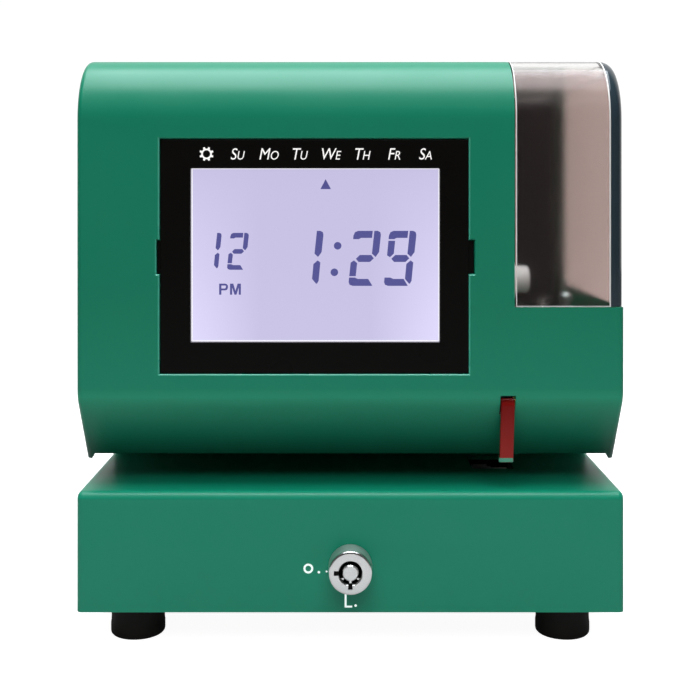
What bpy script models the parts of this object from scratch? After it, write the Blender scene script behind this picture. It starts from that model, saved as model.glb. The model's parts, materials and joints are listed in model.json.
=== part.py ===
"""Punch time clock: a free-standing time recorder with a lift-off steel case.

Lengths here are millimetres and become metres in the helpers. +Z is up, the
front faces -Y, and the origin is the middle of the footprint on the table.
"""

import math

import bmesh
import bpy

MM = 0.001

# Driving dimensions
WIDTH = 240.0
HEIGHT = 260.5
FRONT_Y = -95.0
BACK_Y = 105.0
SHEET = 1.5
GAP = 0.3
FOOT_HEIGHT = 16.5
FOOT_RADIUS = 12.25
FOOT_INSET = 23.0
PLATE_SHEET = 2.0
PLATE_INSET = 0.4
SEAT_Z = 19.1
BASE_TOP_Z = 69.0
THROAT_TOP_Z = 81.8
THROAT_BACK_Y = -13.0
SIDE_LIP_Z = 79.2
CHIN_Y = -76.0
CHIN_CORNER_Z = 109.6
CHIN_RADIUS = 15.0
BROW_RADIUS = 28.0
BASE_EDGE_RADIUS = 3.5

# Display
BEZEL_X = (-83.1, 51.8)
BEZEL_Z = (121.3, 223.4)
SCREEN_X = (-70.1, 39.2)
SCREEN_Z = (134.6, 210.9)
BEZEL_Y = (FRONT_Y + 0.3, -91.2)
EAR_Y = (FRONT_Y + 0.6, -91.4)
PANEL_Y = (-90.9, -88.3)
BACKLIGHT_Y = (-88.0, -83.4)
DISPLAY_BOARD_Y = (-80.7, -79.1)
SOFT_EDGE = 0.3
EAR_Z = (165.0, 179.0)
EAR_WIDTH = (1.4, 2.1)
POINTER_X = (66.2, 72.2)
POINTER_PATH = ((-84, 107.6, 0), (-95.0, 111.4, 3.2), (-89.3, 80.7, 0))
POINTER_THICKNESS = 3.0
REVEAL = 0.9

# Corner window
WINDOW_X = 72.3
WINDOW_Z = 150.0
WINDOW_BACK_Y = 35.0
WINDOW_WALL = 2.0
WINDOW_CORNER = 10.0

# Lock
LOCK_Z = 36.8
LOCK_RADIUS = 9.5
LOCK_PROUD = 10.0
PLUG_RADIUS = 6.0
BARREL_BACK_Y = -83.0
BARREL_CHAMFER = 1.2
NUT_RADIUS = 14.0
NUT_BACK_Y = -88.4
KEYWAY_RADII = (5.0, 3.3)
KEYWAY_DEPTH = 7.0
CAM_Y = (-82.3, -80.3)
CAM_OUTLINE = ((4, -5), (4, 5), (-12, 5), (-15, 2.5), (-15, -2.5), (-12, -5))

# Card throat and inner screen
GUIDE_Z = (82.1, 83.3)
POST_PLACE = (103, -48, 0)
SHIELD_PATH = ((36.0, 142.0), (36.0, 252.0), (52.0, 252.0))
SHIELD_X = (50.0, 113.2)

# Movement
FRAME_X = (46.0, 90.0)
FRAME_SHEET = 2.0
WHEEL_Y = -36.0
WHEEL_Z = 114.3
WHEEL_RADIUS = 30.0
SHAFT_RADIUS = 4.0
WHEEL_WIDTH = 7.0
MINUTE_X = 53.0
HOUR_X = 60.6
DAY_X = 68.2
GEAR_X = 77.0
GEAR_WIDTH = 3.0
GEAR_TEETH = 40
PINION_TEETH = 12
GEAR_MODULE = 1.0
TOOTH_ROOT = 1.1
TOOTH_TIP = 0.7
TOOTH_SHARES = (0.5, 0.22)
MOTOR_RADIUS = 21.0
MOTOR_END_X = 114.0
MOTOR_BORE = 3.2
MOTOR_HOLE_RADIUS = 4.0
PINION_Y = WHEEL_Y + (GEAR_TEETH + PINION_TEETH) * GEAR_MODULE / 2 + 0.3
SPOOL_Y = (-55.0, 5.0)
SPOOL_Z = 159.4
RIBBON_X = (52.0, 75.5)
SPINDLE_RADIUS = 2.0
SPINDLE_END_X = 79.5
SPOOL_BORE_END_X = 81.0
FLANGE_RADIUS = 13.0
FLANGE_WIDTH = 1.0
DRUM_RADIUS = 8.5
KNOB_RADIUS = 6.25
KNOB_END_X = 84.1
KNOB_CHAMFER = 1.25
HAMMER_Y = -13.0
HAMMER_Z = 55.0
HAMMER_PIN_RADIUS = 3.0
TRIGGER_Y = -8.0
TRIGGER_Z = 95.0
TRIGGER_PIN_RADIUS = 2.0
TRIGGER_X = (82.0, 86.0)
ARM_X = (64.0, 72.0)
STRIKER_X = (60.0, 76.0)
STROKE_X = 68.0
PLUNGER_RADIUS = 5.0
PLUNGER_Z = (31.5, 51.0)
SOLENOID_HALF = 13.0
SOLENOID_TOP = 39.5
TIE_RADIUS = 5.0
PLUNGER_Y = HAMMER_Y + 16.0

# Rear panel and electrics
VENT_ROWS = 6
VENT_Z = 190.0
VENT_PITCH = 9.0
VENT_X = (-45.0, 45.0)
VENT_HEIGHT = 4.0
INLET_X = (-96.0, -64.0)
INLET_Z = (28.0, 52.0)
INLET_FRONT_Y = 84.0
CORE_TOP = 59.1
BOARD_Z = (28.0, 29.6)
POST_RADIUS = 3.2
STUD_RADIUS = 1.4

AXIS_TURN = {"x": (0, math.pi / 2, 0), "y": (-math.pi / 2, 0, 0), "z": (0, 0, 0)}

PAINT = ("green_paint", (0.010, 0.185, 0.095), 0.42, 0.0)
BLACK = ("black_plastic", (0.008, 0.008, 0.009), 0.35, 0.0)
SMOKE = ("smoke_plastic", (0.30, 0.26, 0.25), 0.08, 0.0)
GLASS = ("display_glass", (0.58, 0.55, 0.78), 0.15, 0.0)
DIFFUSER = ("diffuser", (0.80, 0.80, 0.86), 0.5, 0.0)
BOARD = ("circuit_board", (0.02, 0.12, 0.05), 0.5, 0.0)
RED = ("red_plastic", (0.42, 0.012, 0.012), 0.2, 0.0)
NICKEL = ("nickel", (0.72, 0.70, 0.67), 0.22, 1.0)
STEEL = ("steel", (0.50, 0.50, 0.50), 0.38, 1.0)
DARK_STEEL = ("dark_steel", (0.03, 0.03, 0.032), 0.5, 0.4)
RUBBER = ("rubber", (0.016, 0.015, 0.014), 0.8, 0.0)
WHITE = ("white_plastic", (0.75, 0.74, 0.70), 0.4, 0.0)
BRASS = ("brass", (0.62, 0.45, 0.18), 0.3, 1.0)
INK = ("inked_ribbon", (0.05, 0.01, 0.02), 0.9, 0.0)
COPPER = ("winding", (0.45, 0.18, 0.06), 0.45, 0.6)


def clear_scene():
    for old in list(bpy.data.objects):
        bpy.data.objects.remove(old, do_unlink=True)


def collection(name):
    made = bpy.data.collections.new(name)
    bpy.context.scene.collection.children.link(made)
    return made


def material(look):
    name, colour, roughness, metallic = look
    made = bpy.data.materials.get(name)
    if made:
        return made
    made = bpy.data.materials.new(name)
    made.use_nodes = True
    made.diffuse_color = (*colour, 1.0)
    shader = made.node_tree.nodes["Principled BSDF"]
    shader.inputs["Base Color"].default_value = (*colour, 1.0)
    shader.inputs["Roughness"].default_value = roughness
    shader.inputs["Metallic"].default_value = metallic
    return made


def add(name, mesh, look, smooth=False):
    """Links a mesh as a named object with its material."""
    made = bpy.data.objects.new(name, mesh)
    mesh.materials.append(material(look))
    if smooth:
        mesh.shade_smooth()
        mesh.set_sharp_from_angle(angle=math.radians(35))
    PARTS.objects.link(made)
    return made


def rounded(corners, steps=6):
    """A path through (u, v, radius) corners, each inner corner an arc."""
    path = []
    for i, (u, v, radius) in enumerate(corners):
        if radius == 0:
            path.append((u, v))
            continue
        before = corners[i - 1]
        after = corners[(i + 1) % len(corners)]
        into = math.atan2(v - before[1], u - before[0])
        out = math.atan2(after[1] - v, after[0] - u)
        turn = math.remainder(out - into, math.tau)
        side = math.copysign(1, turn)
        back = radius * math.tan(abs(turn) / 2)
        start = (u - back * math.cos(into), v - back * math.sin(into))
        centre = (
            start[0] - side * radius * math.sin(into),
            start[1] + side * radius * math.cos(into),
        )
        for k in range(steps + 1):
            angle = into - side * math.pi / 2 + turn * k / steps
            path.append((centre[0] + radius * math.cos(angle), centre[1] + radius * math.sin(angle)))
    return path


def placed(axis, u, v, along):
    """A point from its two cross-section coordinates and its place along an axis."""
    order = {"x": (along, u, v), "y": (u, along, v), "z": (u, v, along)}
    return tuple(value * MM for value in order[axis])


def prism(name, outline, axis, low, high, look, smooth=False):
    """A flat outline extruded along an axis."""
    bm = bmesh.new()
    ring = [bm.verts.new(placed(axis, u, v, low)) for u, v in outline]
    face = bm.faces.new(ring)
    grown = bmesh.ops.extrude_face_region(bm, geom=[face])["geom"]
    moved = [item for item in grown if isinstance(item, bmesh.types.BMVert)]
    shift = [a - b for a, b in zip(placed(axis, 0, 0, high), placed(axis, 0, 0, low))]
    bmesh.ops.translate(bm, verts=moved, vec=shift)
    bmesh.ops.recalc_face_normals(bm, faces=bm.faces)
    mesh = bpy.data.meshes.new(name)
    bm.to_mesh(mesh)
    bm.free()
    return add(name, mesh, look, smooth)


def box(name, x, y, z, look, edge=0.0):
    """A box from three (low, high) spans, with optional rounded edges."""
    bm = bmesh.new()
    bmesh.ops.create_cube(bm, size=1.0)
    spans = (x, y, z)
    for vert in bm.verts:
        vert.co = [(s[0] + s[1]) / 2 * MM + c * (s[1] - s[0]) * MM for s, c in zip(spans, vert.co)]
    mesh = bpy.data.meshes.new(name)
    bm.to_mesh(mesh)
    bm.free()
    made = add(name, mesh, look)
    if edge:
        bevel = made.modifiers.new("edges", "BEVEL")
        bevel.width = edge * MM
        bevel.segments = 2
    return made


def turned(name, profile, centre, axis, look, steps=32, ring=False):
    """A profile of (radius, along) points, far end first, turned about an axis."""
    mesh = bpy.data.meshes.new(name)
    edges = [(i, i + 1) for i in range(len(profile) - 1)]
    if ring:
        edges.append((len(profile) - 1, 0))
    mesh.from_pydata([(r * MM, 0, a * MM) for r, a in profile], edges, [])
    made = add(name, mesh, look)
    screw = made.modifiers.new("turn", "SCREW")
    screw.steps = screw.render_steps = steps
    screw.use_merge_vertices = True
    screw.merge_threshold = 0.00001
    screw.use_smooth_shade = True
    made.location = [c * MM for c in centre]
    made.rotation_euler = AXIS_TURN[axis]
    return made


def rod(name, radius, axis, centre, low, high, look, steps=24):
    """A plain round bar between two places along an axis."""
    profile = [(0, high), (radius, high), (radius, low), (0, low)]
    place = {"x": (0, *centre), "y": (centre[0], 0, centre[1]), "z": (*centre, 0)}[axis]
    return turned(name, profile, place, axis, look, steps)


def tube(name, outer, inner, axis, centre, low, high, look, steps=32):
    """A round bar with a bore right through it."""
    profile = [(inner, high), (outer, high), (outer, low), (inner, low)]
    place = {"x": (0, *centre), "y": (centre[0], 0, centre[1]), "z": (*centre, 0)}[axis]
    return turned(name, profile, place, axis, look, steps, ring=True)


def boolean(target, tool, operation):
    """Cuts or joins, and puts the tool away with the other cutters."""
    PARTS.objects.unlink(tool)
    CUTTERS.objects.link(tool)
    tool.hide_render = True
    tool.display_type = "WIRE"
    step = target.modifiers.new(tool.name, "BOOLEAN")
    step.operation = operation
    step.object = tool
    return target


def cut(target, *tools):
    for tool in tools:
        boolean(target, tool, "DIFFERENCE")
    return target


def join(target, *tools):
    for tool in tools:
        boolean(target, tool, "UNION")
    return target


def bent_sheet(name, path, x, thickness, look):
    """Sheet metal bent along a (y, z) path; its outer side is on the path's left."""
    bm = bmesh.new()
    verts = [bm.verts.new(placed("x", y, z, x[0])) for y, z in path]
    edges = [bm.edges.new(pair) for pair in zip(verts, verts[1:])]
    grown = bmesh.ops.extrude_edge_only(bm, edges=edges)["geom"]
    moved = [item for item in grown if isinstance(item, bmesh.types.BMVert)]
    bmesh.ops.translate(bm, verts=moved, vec=((x[1] - x[0]) * MM, 0, 0))
    bm.normal_update()
    first = min(bm.faces, key=lambda face: (face.calc_center_median() - verts[0].co).length)
    heading = (path[1][0] - path[0][0], path[1][1] - path[0][1])
    if first.normal.y * -heading[1] + first.normal.z * heading[0] < 0:
        bmesh.ops.reverse_faces(bm, faces=bm.faces)
    mesh = bpy.data.meshes.new(name)
    bm.to_mesh(mesh)
    bm.free()
    made = add(name, mesh, look, smooth=True)
    wall = made.modifiers.new("wall", "SOLIDIFY")
    wall.thickness = thickness * MM
    wall.offset = -1
    wall.use_even_offset = True
    return made


def hexagon(radius):
    angles = [math.tau * k / 6 for k in range(6)]
    return [(radius * math.cos(a), radius * math.sin(a)) for a in angles]


def toothed(teeth, root, tip, root_share, tip_share, phase=0.0):
    """A wheel's outline with straight-sided teeth, tooth 0 centred at the phase."""
    pitch = math.tau / teeth
    outline = []
    for tooth in range(teeth):
        middle = phase + tooth * pitch
        for radius, share in ((root, -root_share), (tip, -tip_share), (tip, tip_share), (root, root_share)):
            angle = middle + share * pitch / 2
            outline.append((radius * math.cos(angle), radius * math.sin(angle)))
    return outline


def shifted(outline, centre):
    return [(u + centre[0], v + centre[1]) for u, v in outline]


# The case


def upper_corners():
    """Corners of the upper housing's outside, from the chin up and back."""
    return [
        (CHIN_Y, THROAT_TOP_Z, 0),
        (FRONT_Y, CHIN_CORNER_Z, CHIN_RADIUS),
        (FRONT_Y, HEIGHT, BROW_RADIUS),
        (BACK_Y, HEIGHT, 0),
    ]


def make_upper_wrap():
    """Front, top and chin of the upper housing, in one bent sheet."""
    path = rounded([(CHIN_Y + 10, THROAT_TOP_Z, 0)] + upper_corners(), steps=8)
    inside = WIDTH / 2 - SHEET - GAP
    wrap = bent_sheet("case_upper_wrap", path, (-inside, inside), SHEET, PAINT)
    deep = (FRONT_Y - 5, FRONT_Y + 5)
    opening = box(
        "display_opening_cut",
        (BEZEL_X[0] - REVEAL, BEZEL_X[1] + REVEAL),
        deep,
        (BEZEL_Z[0] - REVEAL, BEZEL_Z[1] + REVEAL),
        PAINT,
    )
    ears = box(
        "display_ear_cut",
        (BEZEL_X[0] - EAR_WIDTH[0] - REVEAL, BEZEL_X[1] + EAR_WIDTH[1] + REVEAL),
        deep,
        (EAR_Z[0] - REVEAL, EAR_Z[1] + REVEAL),
        PAINT,
    )
    window = box(
        "window_wrap_cut",
        (WINDOW_X, WIDTH),
        (FRONT_Y - 5, WINDOW_BACK_Y + GAP),
        (WINDOW_Z, HEIGHT + 5),
        PAINT,
    )
    slot = box("pointer_slot_cut", (65.4, 73.0), (FRONT_Y - 5, -82), (102.0, 112.0), PAINT)
    return cut(wrap, opening, ears, window, slot)


def side_outline(back_y, notch):
    """A side panel's outline in (y, z): a C around the card throat."""
    lean = (FRONT_Y - CHIN_Y) / (CHIN_CORNER_Z - THROAT_TOP_Z)
    lip_y = CHIN_Y + (SIDE_LIP_Z - THROAT_TOP_Z) * lean
    corners = [
        (FRONT_Y, FOOT_HEIGHT, 0),
        (FRONT_Y, BASE_TOP_Z, BASE_EDGE_RADIUS),
        (THROAT_BACK_Y - 2, BASE_TOP_Z, 3),
        (THROAT_BACK_Y - 2, SIDE_LIP_Z, 3),
        (lip_y, SIDE_LIP_Z, 0),
        (FRONT_Y, CHIN_CORNER_Z, CHIN_RADIUS),
    ]
    if notch:
        corners += [
            (FRONT_Y, WINDOW_Z, 0),
            (WINDOW_BACK_Y + GAP, WINDOW_Z, WINDOW_CORNER + GAP),
            (WINDOW_BACK_Y + GAP, HEIGHT, 0),
        ]
    else:
        corners.append((FRONT_Y, HEIGHT, BROW_RADIUS))
    corners += [(back_y, HEIGHT, 0), (back_y, FOOT_HEIGHT, 0)]
    return rounded(corners)


def make_sides():
    """The left and right side panels; the right one is cut away for the window."""
    outer, inner = WIDTH / 2, WIDTH / 2 - SHEET
    prism("case_left_side", side_outline(BACK_Y, False), "x", -outer, -inner, PAINT)
    prism("case_right_side", side_outline(BACK_Y, True), "x", inner, outer, PAINT)


def make_lower_wrap():
    """Base front, base top and the wall at the back of the card throat."""
    path = rounded(
        [
            (FRONT_Y, FOOT_HEIGHT, 0),
            (FRONT_Y, BASE_TOP_Z, BASE_EDGE_RADIUS),
            (THROAT_BACK_Y, BASE_TOP_Z, 0),
            (THROAT_BACK_Y, THROAT_TOP_Z - GAP, 0),
        ]
    )
    inside = WIDTH / 2 - SHEET - GAP
    wrap = bent_sheet("case_lower_wrap", path, (-inside, inside), SHEET, PAINT)
    hole = rod(
        "lock_hole_cut", LOCK_RADIUS + GAP, "y", (0, LOCK_Z), FRONT_Y - 5, FRONT_Y + 5, PAINT, 32
    )
    hammer_hole = box("hammer_opening_cut", (58, 78), (-52, -27), (60, 75), PAINT)
    trigger_hole = box("trigger_notch_cut", (80.5, 87.5), (-20, -5), (70.6, 90), PAINT)
    return cut(wrap, hole, hammer_hole, trigger_hole)


def make_window():
    """Clear corner window: front, top and right walls in one moulding."""
    outline = rounded(
        [
            (FRONT_Y, WINDOW_Z + GAP, 0),
            (FRONT_Y, HEIGHT, BROW_RADIUS),
            (WINDOW_BACK_Y, HEIGHT, 0),
            (WINDOW_BACK_Y, WINDOW_Z + GAP, WINDOW_CORNER),
        ],
        steps=8,
    )
    hollow = rounded(
        [
            (FRONT_Y + WINDOW_WALL, WINDOW_Z - 10, 0),
            (FRONT_Y + WINDOW_WALL, HEIGHT - WINDOW_WALL, BROW_RADIUS - WINDOW_WALL),
            (WINDOW_BACK_Y + 10, HEIGHT - WINDOW_WALL, 0),
            (WINDOW_BACK_Y + 10, WINDOW_Z - 10, 0),
        ],
        steps=8,
    )
    window = prism("corner_window", outline, "x", WINDOW_X + GAP, WIDTH / 2, SMOKE)
    inside = prism("window_hollow_cut", hollow, "x", WINDOW_X - 5, WIDTH / 2 - WINDOW_WALL, SMOKE)
    return cut(window, inside)


def make_display():
    """Bezel, liquid-crystal panel, backlight, board and the brackets that hold them."""
    bezel = box("display_bezel", BEZEL_X, BEZEL_Y, BEZEL_Z, BLACK)
    ears = box(
        "bezel_ears",
        (BEZEL_X[0] - EAR_WIDTH[0], BEZEL_X[1] + EAR_WIDTH[1]),
        EAR_Y,
        EAR_Z,
        BLACK,
    )
    join(bezel, ears)
    cut(bezel, box("screen_opening_cut", SCREEN_X, (-100, -80), SCREEN_Z, BLACK))
    box("lcd_panel", (-77, 46), PANEL_Y, (128, 217.5), GLASS, SOFT_EDGE)
    box("backlight_panel", (-75, 44), BACKLIGHT_Y, (130, 215.5), DIFFUSER, SOFT_EDGE)
    box("display_board", (-95, 65), DISPLAY_BOARD_Y, (119, 228), BOARD)
    front, seat = FRONT_Y + SHEET + GAP, -81.0
    for hand, x in (("left", -94.0), ("right", 57.0)):
        channel = [(x, front), (x + 7, front), (x + 7, front + 1.2), (x + 1.2, front + 1.2)]
        channel += [(x + 1.2, seat - 1.2), (x + 7, seat - 1.2), (x + 7, seat), (x, seat)]
        prism(f"display_bracket_{hand}", channel, "z", 121, 226, STEEL)


def make_pointer():
    """Red pointer that marks where the stamp falls on the card."""
    path = rounded(POINTER_PATH, steps=4)
    path.reverse()
    bent_sheet("print_pointer", path, POINTER_X, POINTER_THICKNESS, RED)


def make_lock():
    """Round key lock: barrel and nut on the case, plug and cam that turn."""
    bore = PLUG_RADIUS + GAP
    profile = [
        (bore, BARREL_BACK_Y),
        (LOCK_RADIUS - 0.4, BARREL_BACK_Y),
        (LOCK_RADIUS - 0.4, FRONT_Y + 0.2),
        (LOCK_RADIUS, FRONT_Y - 0.4),
        (LOCK_RADIUS, FRONT_Y - LOCK_PROUD + BARREL_CHAMFER),
        (LOCK_RADIUS - BARREL_CHAMFER, FRONT_Y - LOCK_PROUD),
        (bore, FRONT_Y - LOCK_PROUD),
    ]
    turned("lock_barrel", profile, (0, 0, LOCK_Z), "y", NICKEL, ring=True)
    nut = prism(
        "lock_nut", shifted(hexagon(NUT_RADIUS), (0, LOCK_Z)), "y", FRONT_Y + SHEET + GAP, NUT_BACK_Y, STEEL
    )
    cut(nut, rod("lock_nut_cut", LOCK_RADIUS, "y", (0, LOCK_Z), -99, -85, STEEL, 32))
    face = FRONT_Y - LOCK_PROUD + 0.6
    plug = rod("lock_plug", PLUG_RADIUS, "y", (0, LOCK_Z), face, -82.6, NICKEL, 32)
    keyway = tube("keyway_cut", *KEYWAY_RADII, "y", (0, LOCK_Z), face - 2, face + KEYWAY_DEPTH, NICKEL)
    notch_y = (face - 2, face + KEYWAY_DEPTH)
    notch = box("key_notch_cut", (-1.0, 1.0), notch_y, (LOCK_Z + 4.4, LOCK_Z + 7), NICKEL)
    cut(plug, keyway, notch)
    prism("lock_cam", shifted(CAM_OUTLINE, (0, LOCK_Z)), "y", *CAM_Y, STEEL)


# The chassis


def make_base():
    """Base plate, feet, rear panel, keeper for the lock's cam, and the power inlet."""
    inside = WIDTH / 2 - SHEET - GAP - PLATE_INSET
    floor_z = (FOOT_HEIGHT + GAP, FOOT_HEIGHT + GAP + PLATE_SHEET)
    box("base_plate", (-inside, inside), (-92.5, 103.0), floor_z, DARK_STEEL)
    keeper = [(-85.7, SEAT_Z), (-70.0, SEAT_Z), (-70.0, 20.6), (-84.2, 20.6), (-84.2, 26.0), (-85.7, 26.0)]
    prism("lock_keeper", keeper, "x", -20, 20, STEEL)
    panel = box(
        "rear_panel", (-inside, inside), (BACK_Y - SHEET, BACK_Y), (SEAT_Z, HEIGHT - 1.9), DARK_STEEL
    )
    for row in range(VENT_ROWS):
        z = VENT_Z + VENT_PITCH * row
        cut(panel, box(f"vent_{row}_cut", VENT_X, (100, 110), (z, z + VENT_HEIGHT), DARK_STEEL))
    hole_x, hole_z = ((low - GAP, high + GAP) for low, high in (INLET_X, INLET_Z))
    cut(panel, box("inlet_hole_cut", hole_x, (100, 110), hole_z, DARK_STEEL))
    inlet = box("power_inlet", INLET_X, (INLET_FRONT_Y, BACK_Y), INLET_Z, BLACK)
    cut(inlet, box("inlet_socket_cut", (-92, -68), (92, 110), (32, 48), BLACK))
    make_feet()


def make_feet():
    """Four rubber feet, slightly wider at the bottom."""
    radius = FOOT_RADIUS
    profile = [
        (0, FOOT_HEIGHT),
        (radius - 0.75, FOOT_HEIGHT),
        (radius - 0.6, 5.0),
        (radius, 3.0),
        (radius, 1.5),
        (radius - 1.2, 0.0),
        (0, 0.0),
    ]
    side = WIDTH / 2 - FOOT_INSET
    for end, y in (("front", FRONT_Y + FOOT_INSET), ("rear", BACK_Y - FOOT_INSET)):
        for hand, x in (("left", -side), ("right", side)):
            turned(f"foot_{end}_{hand}", profile, (x, y, 0), "z", RUBBER)


def frame_outline():
    """A C-shaped frame plate in (y, z), open at the card throat."""
    return rounded(
        [
            (-62, SEAT_Z, 0),
            (-62, 64, 6),
            (-8, 64, 3),
            (-8, 83.6, 0),
            (-68, 83.6, 0),
            (-68, 139.7, 10),
            (34, 139.7, 12),
            (55, 100, 12),
            (55, SEAT_Z, 0),
        ],
        steps=3,
    )


def make_frames():
    """Two frame plates with their bearing holes, and the bars that tie them."""
    for hand, x in zip(("left", "right"), FRAME_X):
        plate = prism(f"frame_plate_{hand}", frame_outline(), "x", x, x + FRAME_SHEET, STEEL)
        holes = [
            ("shaft", WHEEL_Y, WHEEL_Z, SHAFT_RADIUS),
            ("hammer", HAMMER_Y, HAMMER_Z, HAMMER_PIN_RADIUS),
        ]
        if hand == "right":
            holes.append(("motor", PINION_Y, WHEEL_Z, MOTOR_HOLE_RADIUS))
            holes.append(("trigger", TRIGGER_Y, TRIGGER_Z, TRIGGER_PIN_RADIUS))
        for what, y, z, radius in holes:
            name = f"{what}_hole_{hand}_cut"
            cut(plate, rod(name, radius + GAP, "x", (y, z), x - 2, x + 4, STEEL))
    between = (FRAME_X[0] + FRAME_SHEET + GAP, FRAME_X[1] - GAP)
    rod("frame_tie_lower", TIE_RADIUS, "x", (42, 32), *between, STEEL)
    rod("frame_tie_upper", TIE_RADIUS, "x", (24, 126), *between, STEEL)
    outer = (FRAME_X[0] - 2, FRAME_X[1] + FRAME_SHEET + 2)
    rod("hammer_pin", HAMMER_PIN_RADIUS, "x", (HAMMER_Y, HAMMER_Z), *outer, STEEL)
    rod("trigger_pin", TRIGGER_PIN_RADIUS, "x", (TRIGGER_Y, TRIGGER_Z), 80.5, outer[1], STEEL, 16)


def make_card_guide():
    """Ceiling of the card throat, open where the type wheels print."""
    guide = box("upper_card_guide", (-117, 117), (-65, -12), GUIDE_Z, STEEL)
    cut(guide, box("print_aperture_cut", (51, 77), (-48, -24), (80, 86), STEEL))
    cut(guide, box("trigger_gap_cut", (80, 88), (-23, -5), (80, 86), STEEL))
    head = [(0, 152.8), (2.0, 152.5), (3.3, 151.2), (3.3, 149.4), (2.9, 149.4), (2.9, 83.6), (0, 83.6)]
    turned("guide_post", head, POST_PLACE, "z", NICKEL, 20)


def make_shield():
    """Black screen behind the window, bent back at its top."""
    bent_sheet("inner_shield", SHIELD_PATH, SHIELD_X, SHEET, DARK_STEEL)


def type_wheel(name, x, count, look):
    """A print wheel with one raised type block for each of its positions."""
    outline = toothed(count, WHEEL_RADIUS - 1.6, WHEEL_RADIUS, 0.62, 0.5, math.pi / 2)
    wheel = prism(name, shifted(outline, (WHEEL_Y, WHEEL_Z)), "x", x, x + WHEEL_WIDTH, look)
    bore = rod(f"{name}_bore_cut", SHAFT_RADIUS + GAP, "x", (WHEEL_Y, WHEEL_Z), x - 1, x + 9, look)
    return cut(wheel, bore)


def make_print_train():
    """Shaft, type wheels and the gear pair that the motor drives them with."""
    centre = (WHEEL_Y, WHEEL_Z)
    rod("type_wheel_shaft", SHAFT_RADIUS, "x", centre, FRAME_X[0] - 3, FRAME_X[1] + 5, STEEL)
    type_wheel("minute_wheel", MINUTE_X, 60, BRASS)
    type_wheel("hour_wheel", HOUR_X, 24, BRASS)
    type_wheel("day_wheel", DAY_X, 31, BRASS)
    pitch = GEAR_TEETH * GEAR_MODULE / 2
    outline = toothed(GEAR_TEETH, pitch - TOOTH_ROOT, pitch + TOOTH_TIP, *TOOTH_SHARES)
    gear = prism("drive_gear", shifted(outline, centre), "x", GEAR_X, GEAR_X + GEAR_WIDTH, BRASS)
    cut(gear, rod("gear_bore_cut", SHAFT_RADIUS + GAP, "x", centre, 70, 85, BRASS))
    make_motor()


def make_motor():
    """Synchronous motor on the right frame plate, with its pinion."""
    centre = (PINION_Y, WHEEL_Z)
    pitch = PINION_TEETH * GEAR_MODULE / 2
    half_tooth = math.pi / PINION_TEETH
    outline = toothed(PINION_TEETH, pitch - TOOTH_ROOT, pitch + TOOTH_TIP, *TOOTH_SHARES, half_tooth)
    pinion = prism("motor_pinion", shifted(outline, centre), "x", GEAR_X, GEAR_X + GEAR_WIDTH, BRASS)
    join(pinion, rod("pinion_shaft", 2.5, "x", centre, GEAR_X + 1, 97, STEEL, 16))
    start = FRAME_X[1] + FRAME_SHEET + GAP
    profile = [
        (MOTOR_BORE, MOTOR_END_X),
        (MOTOR_RADIUS - 1, MOTOR_END_X),
        (MOTOR_RADIUS, MOTOR_END_X - 1),
        (MOTOR_RADIUS, start + 4),
        (9, start + 4),
        (9, start),
        (MOTOR_BORE, start),
    ]
    turned("motor", profile, (0, *centre), "x", STEEL, ring=True)


def make_ribbon():
    """Inked ribbon, its two spools, their spindles and the bracket above the frame."""
    x = (FRAME_X[0], FRAME_X[0] + FRAME_SHEET)
    outline = rounded([(-70, 140.0, 0), (-70, 172, 8), (20, 172, 8), (20, 140.0, 0)], steps=3)
    bracket = prism("ribbon_bracket", outline, "x", *x, STEEL)
    for end, y in zip(("front", "rear"), SPOOL_Y):
        name = f"spindle_hole_{end}_cut"
        cut(bracket, rod(name, SPINDLE_RADIUS + GAP, "x", (y, SPOOL_Z), x[0] - 2, x[1] + 2, STEEL))
        rod(f"spool_spindle_{end}", SPINDLE_RADIUS, "x", (y, SPOOL_Z), x[0] - 2, SPINDLE_END_X, STEEL, 16)
        turned(f"ribbon_spool_{end}", spool_profile(), (0, y, SPOOL_Z), "x", WHITE, 28)
    low, near, far = 83.9, SPOOL_Y[0] - 9, SPOOL_Y[1] + 9
    route = rounded(
        [
            (near, SPOOL_Z, 0),
            (near - 6, 100, 12),
            (-56, low, 8),
            (-18, low, 8),
            (-2, 100, 12),
            (far, SPOOL_Z, 0),
        ],
        steps=4,
    )
    bent_sheet("ink_ribbon", route, (RIBBON_X[0] + 0.8, RIBBON_X[1] - 0.8), 0.2, INK)


def spool_profile():
    """A flanged spool with a blind bore at its left end and a knob at its right."""
    left, right = RIBBON_X[0] - 1.2, RIBBON_X[1] + 1.0
    return [
        (0, KNOB_END_X),
        (KNOB_RADIUS - KNOB_CHAMFER, KNOB_END_X),
        (KNOB_RADIUS, KNOB_END_X - KNOB_CHAMFER),
        (KNOB_RADIUS, right),
        (FLANGE_RADIUS, right),
        (FLANGE_RADIUS, right - FLANGE_WIDTH),
        (DRUM_RADIUS, right - FLANGE_WIDTH),
        (DRUM_RADIUS, left + FLANGE_WIDTH),
        (FLANGE_RADIUS, left + FLANGE_WIDTH),
        (FLANGE_RADIUS, left),
        (SPINDLE_RADIUS + GAP, left),
        (SPINDLE_RADIUS + GAP, SPOOL_BORE_END_X),
        (0, SPOOL_BORE_END_X),
    ]


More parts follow.
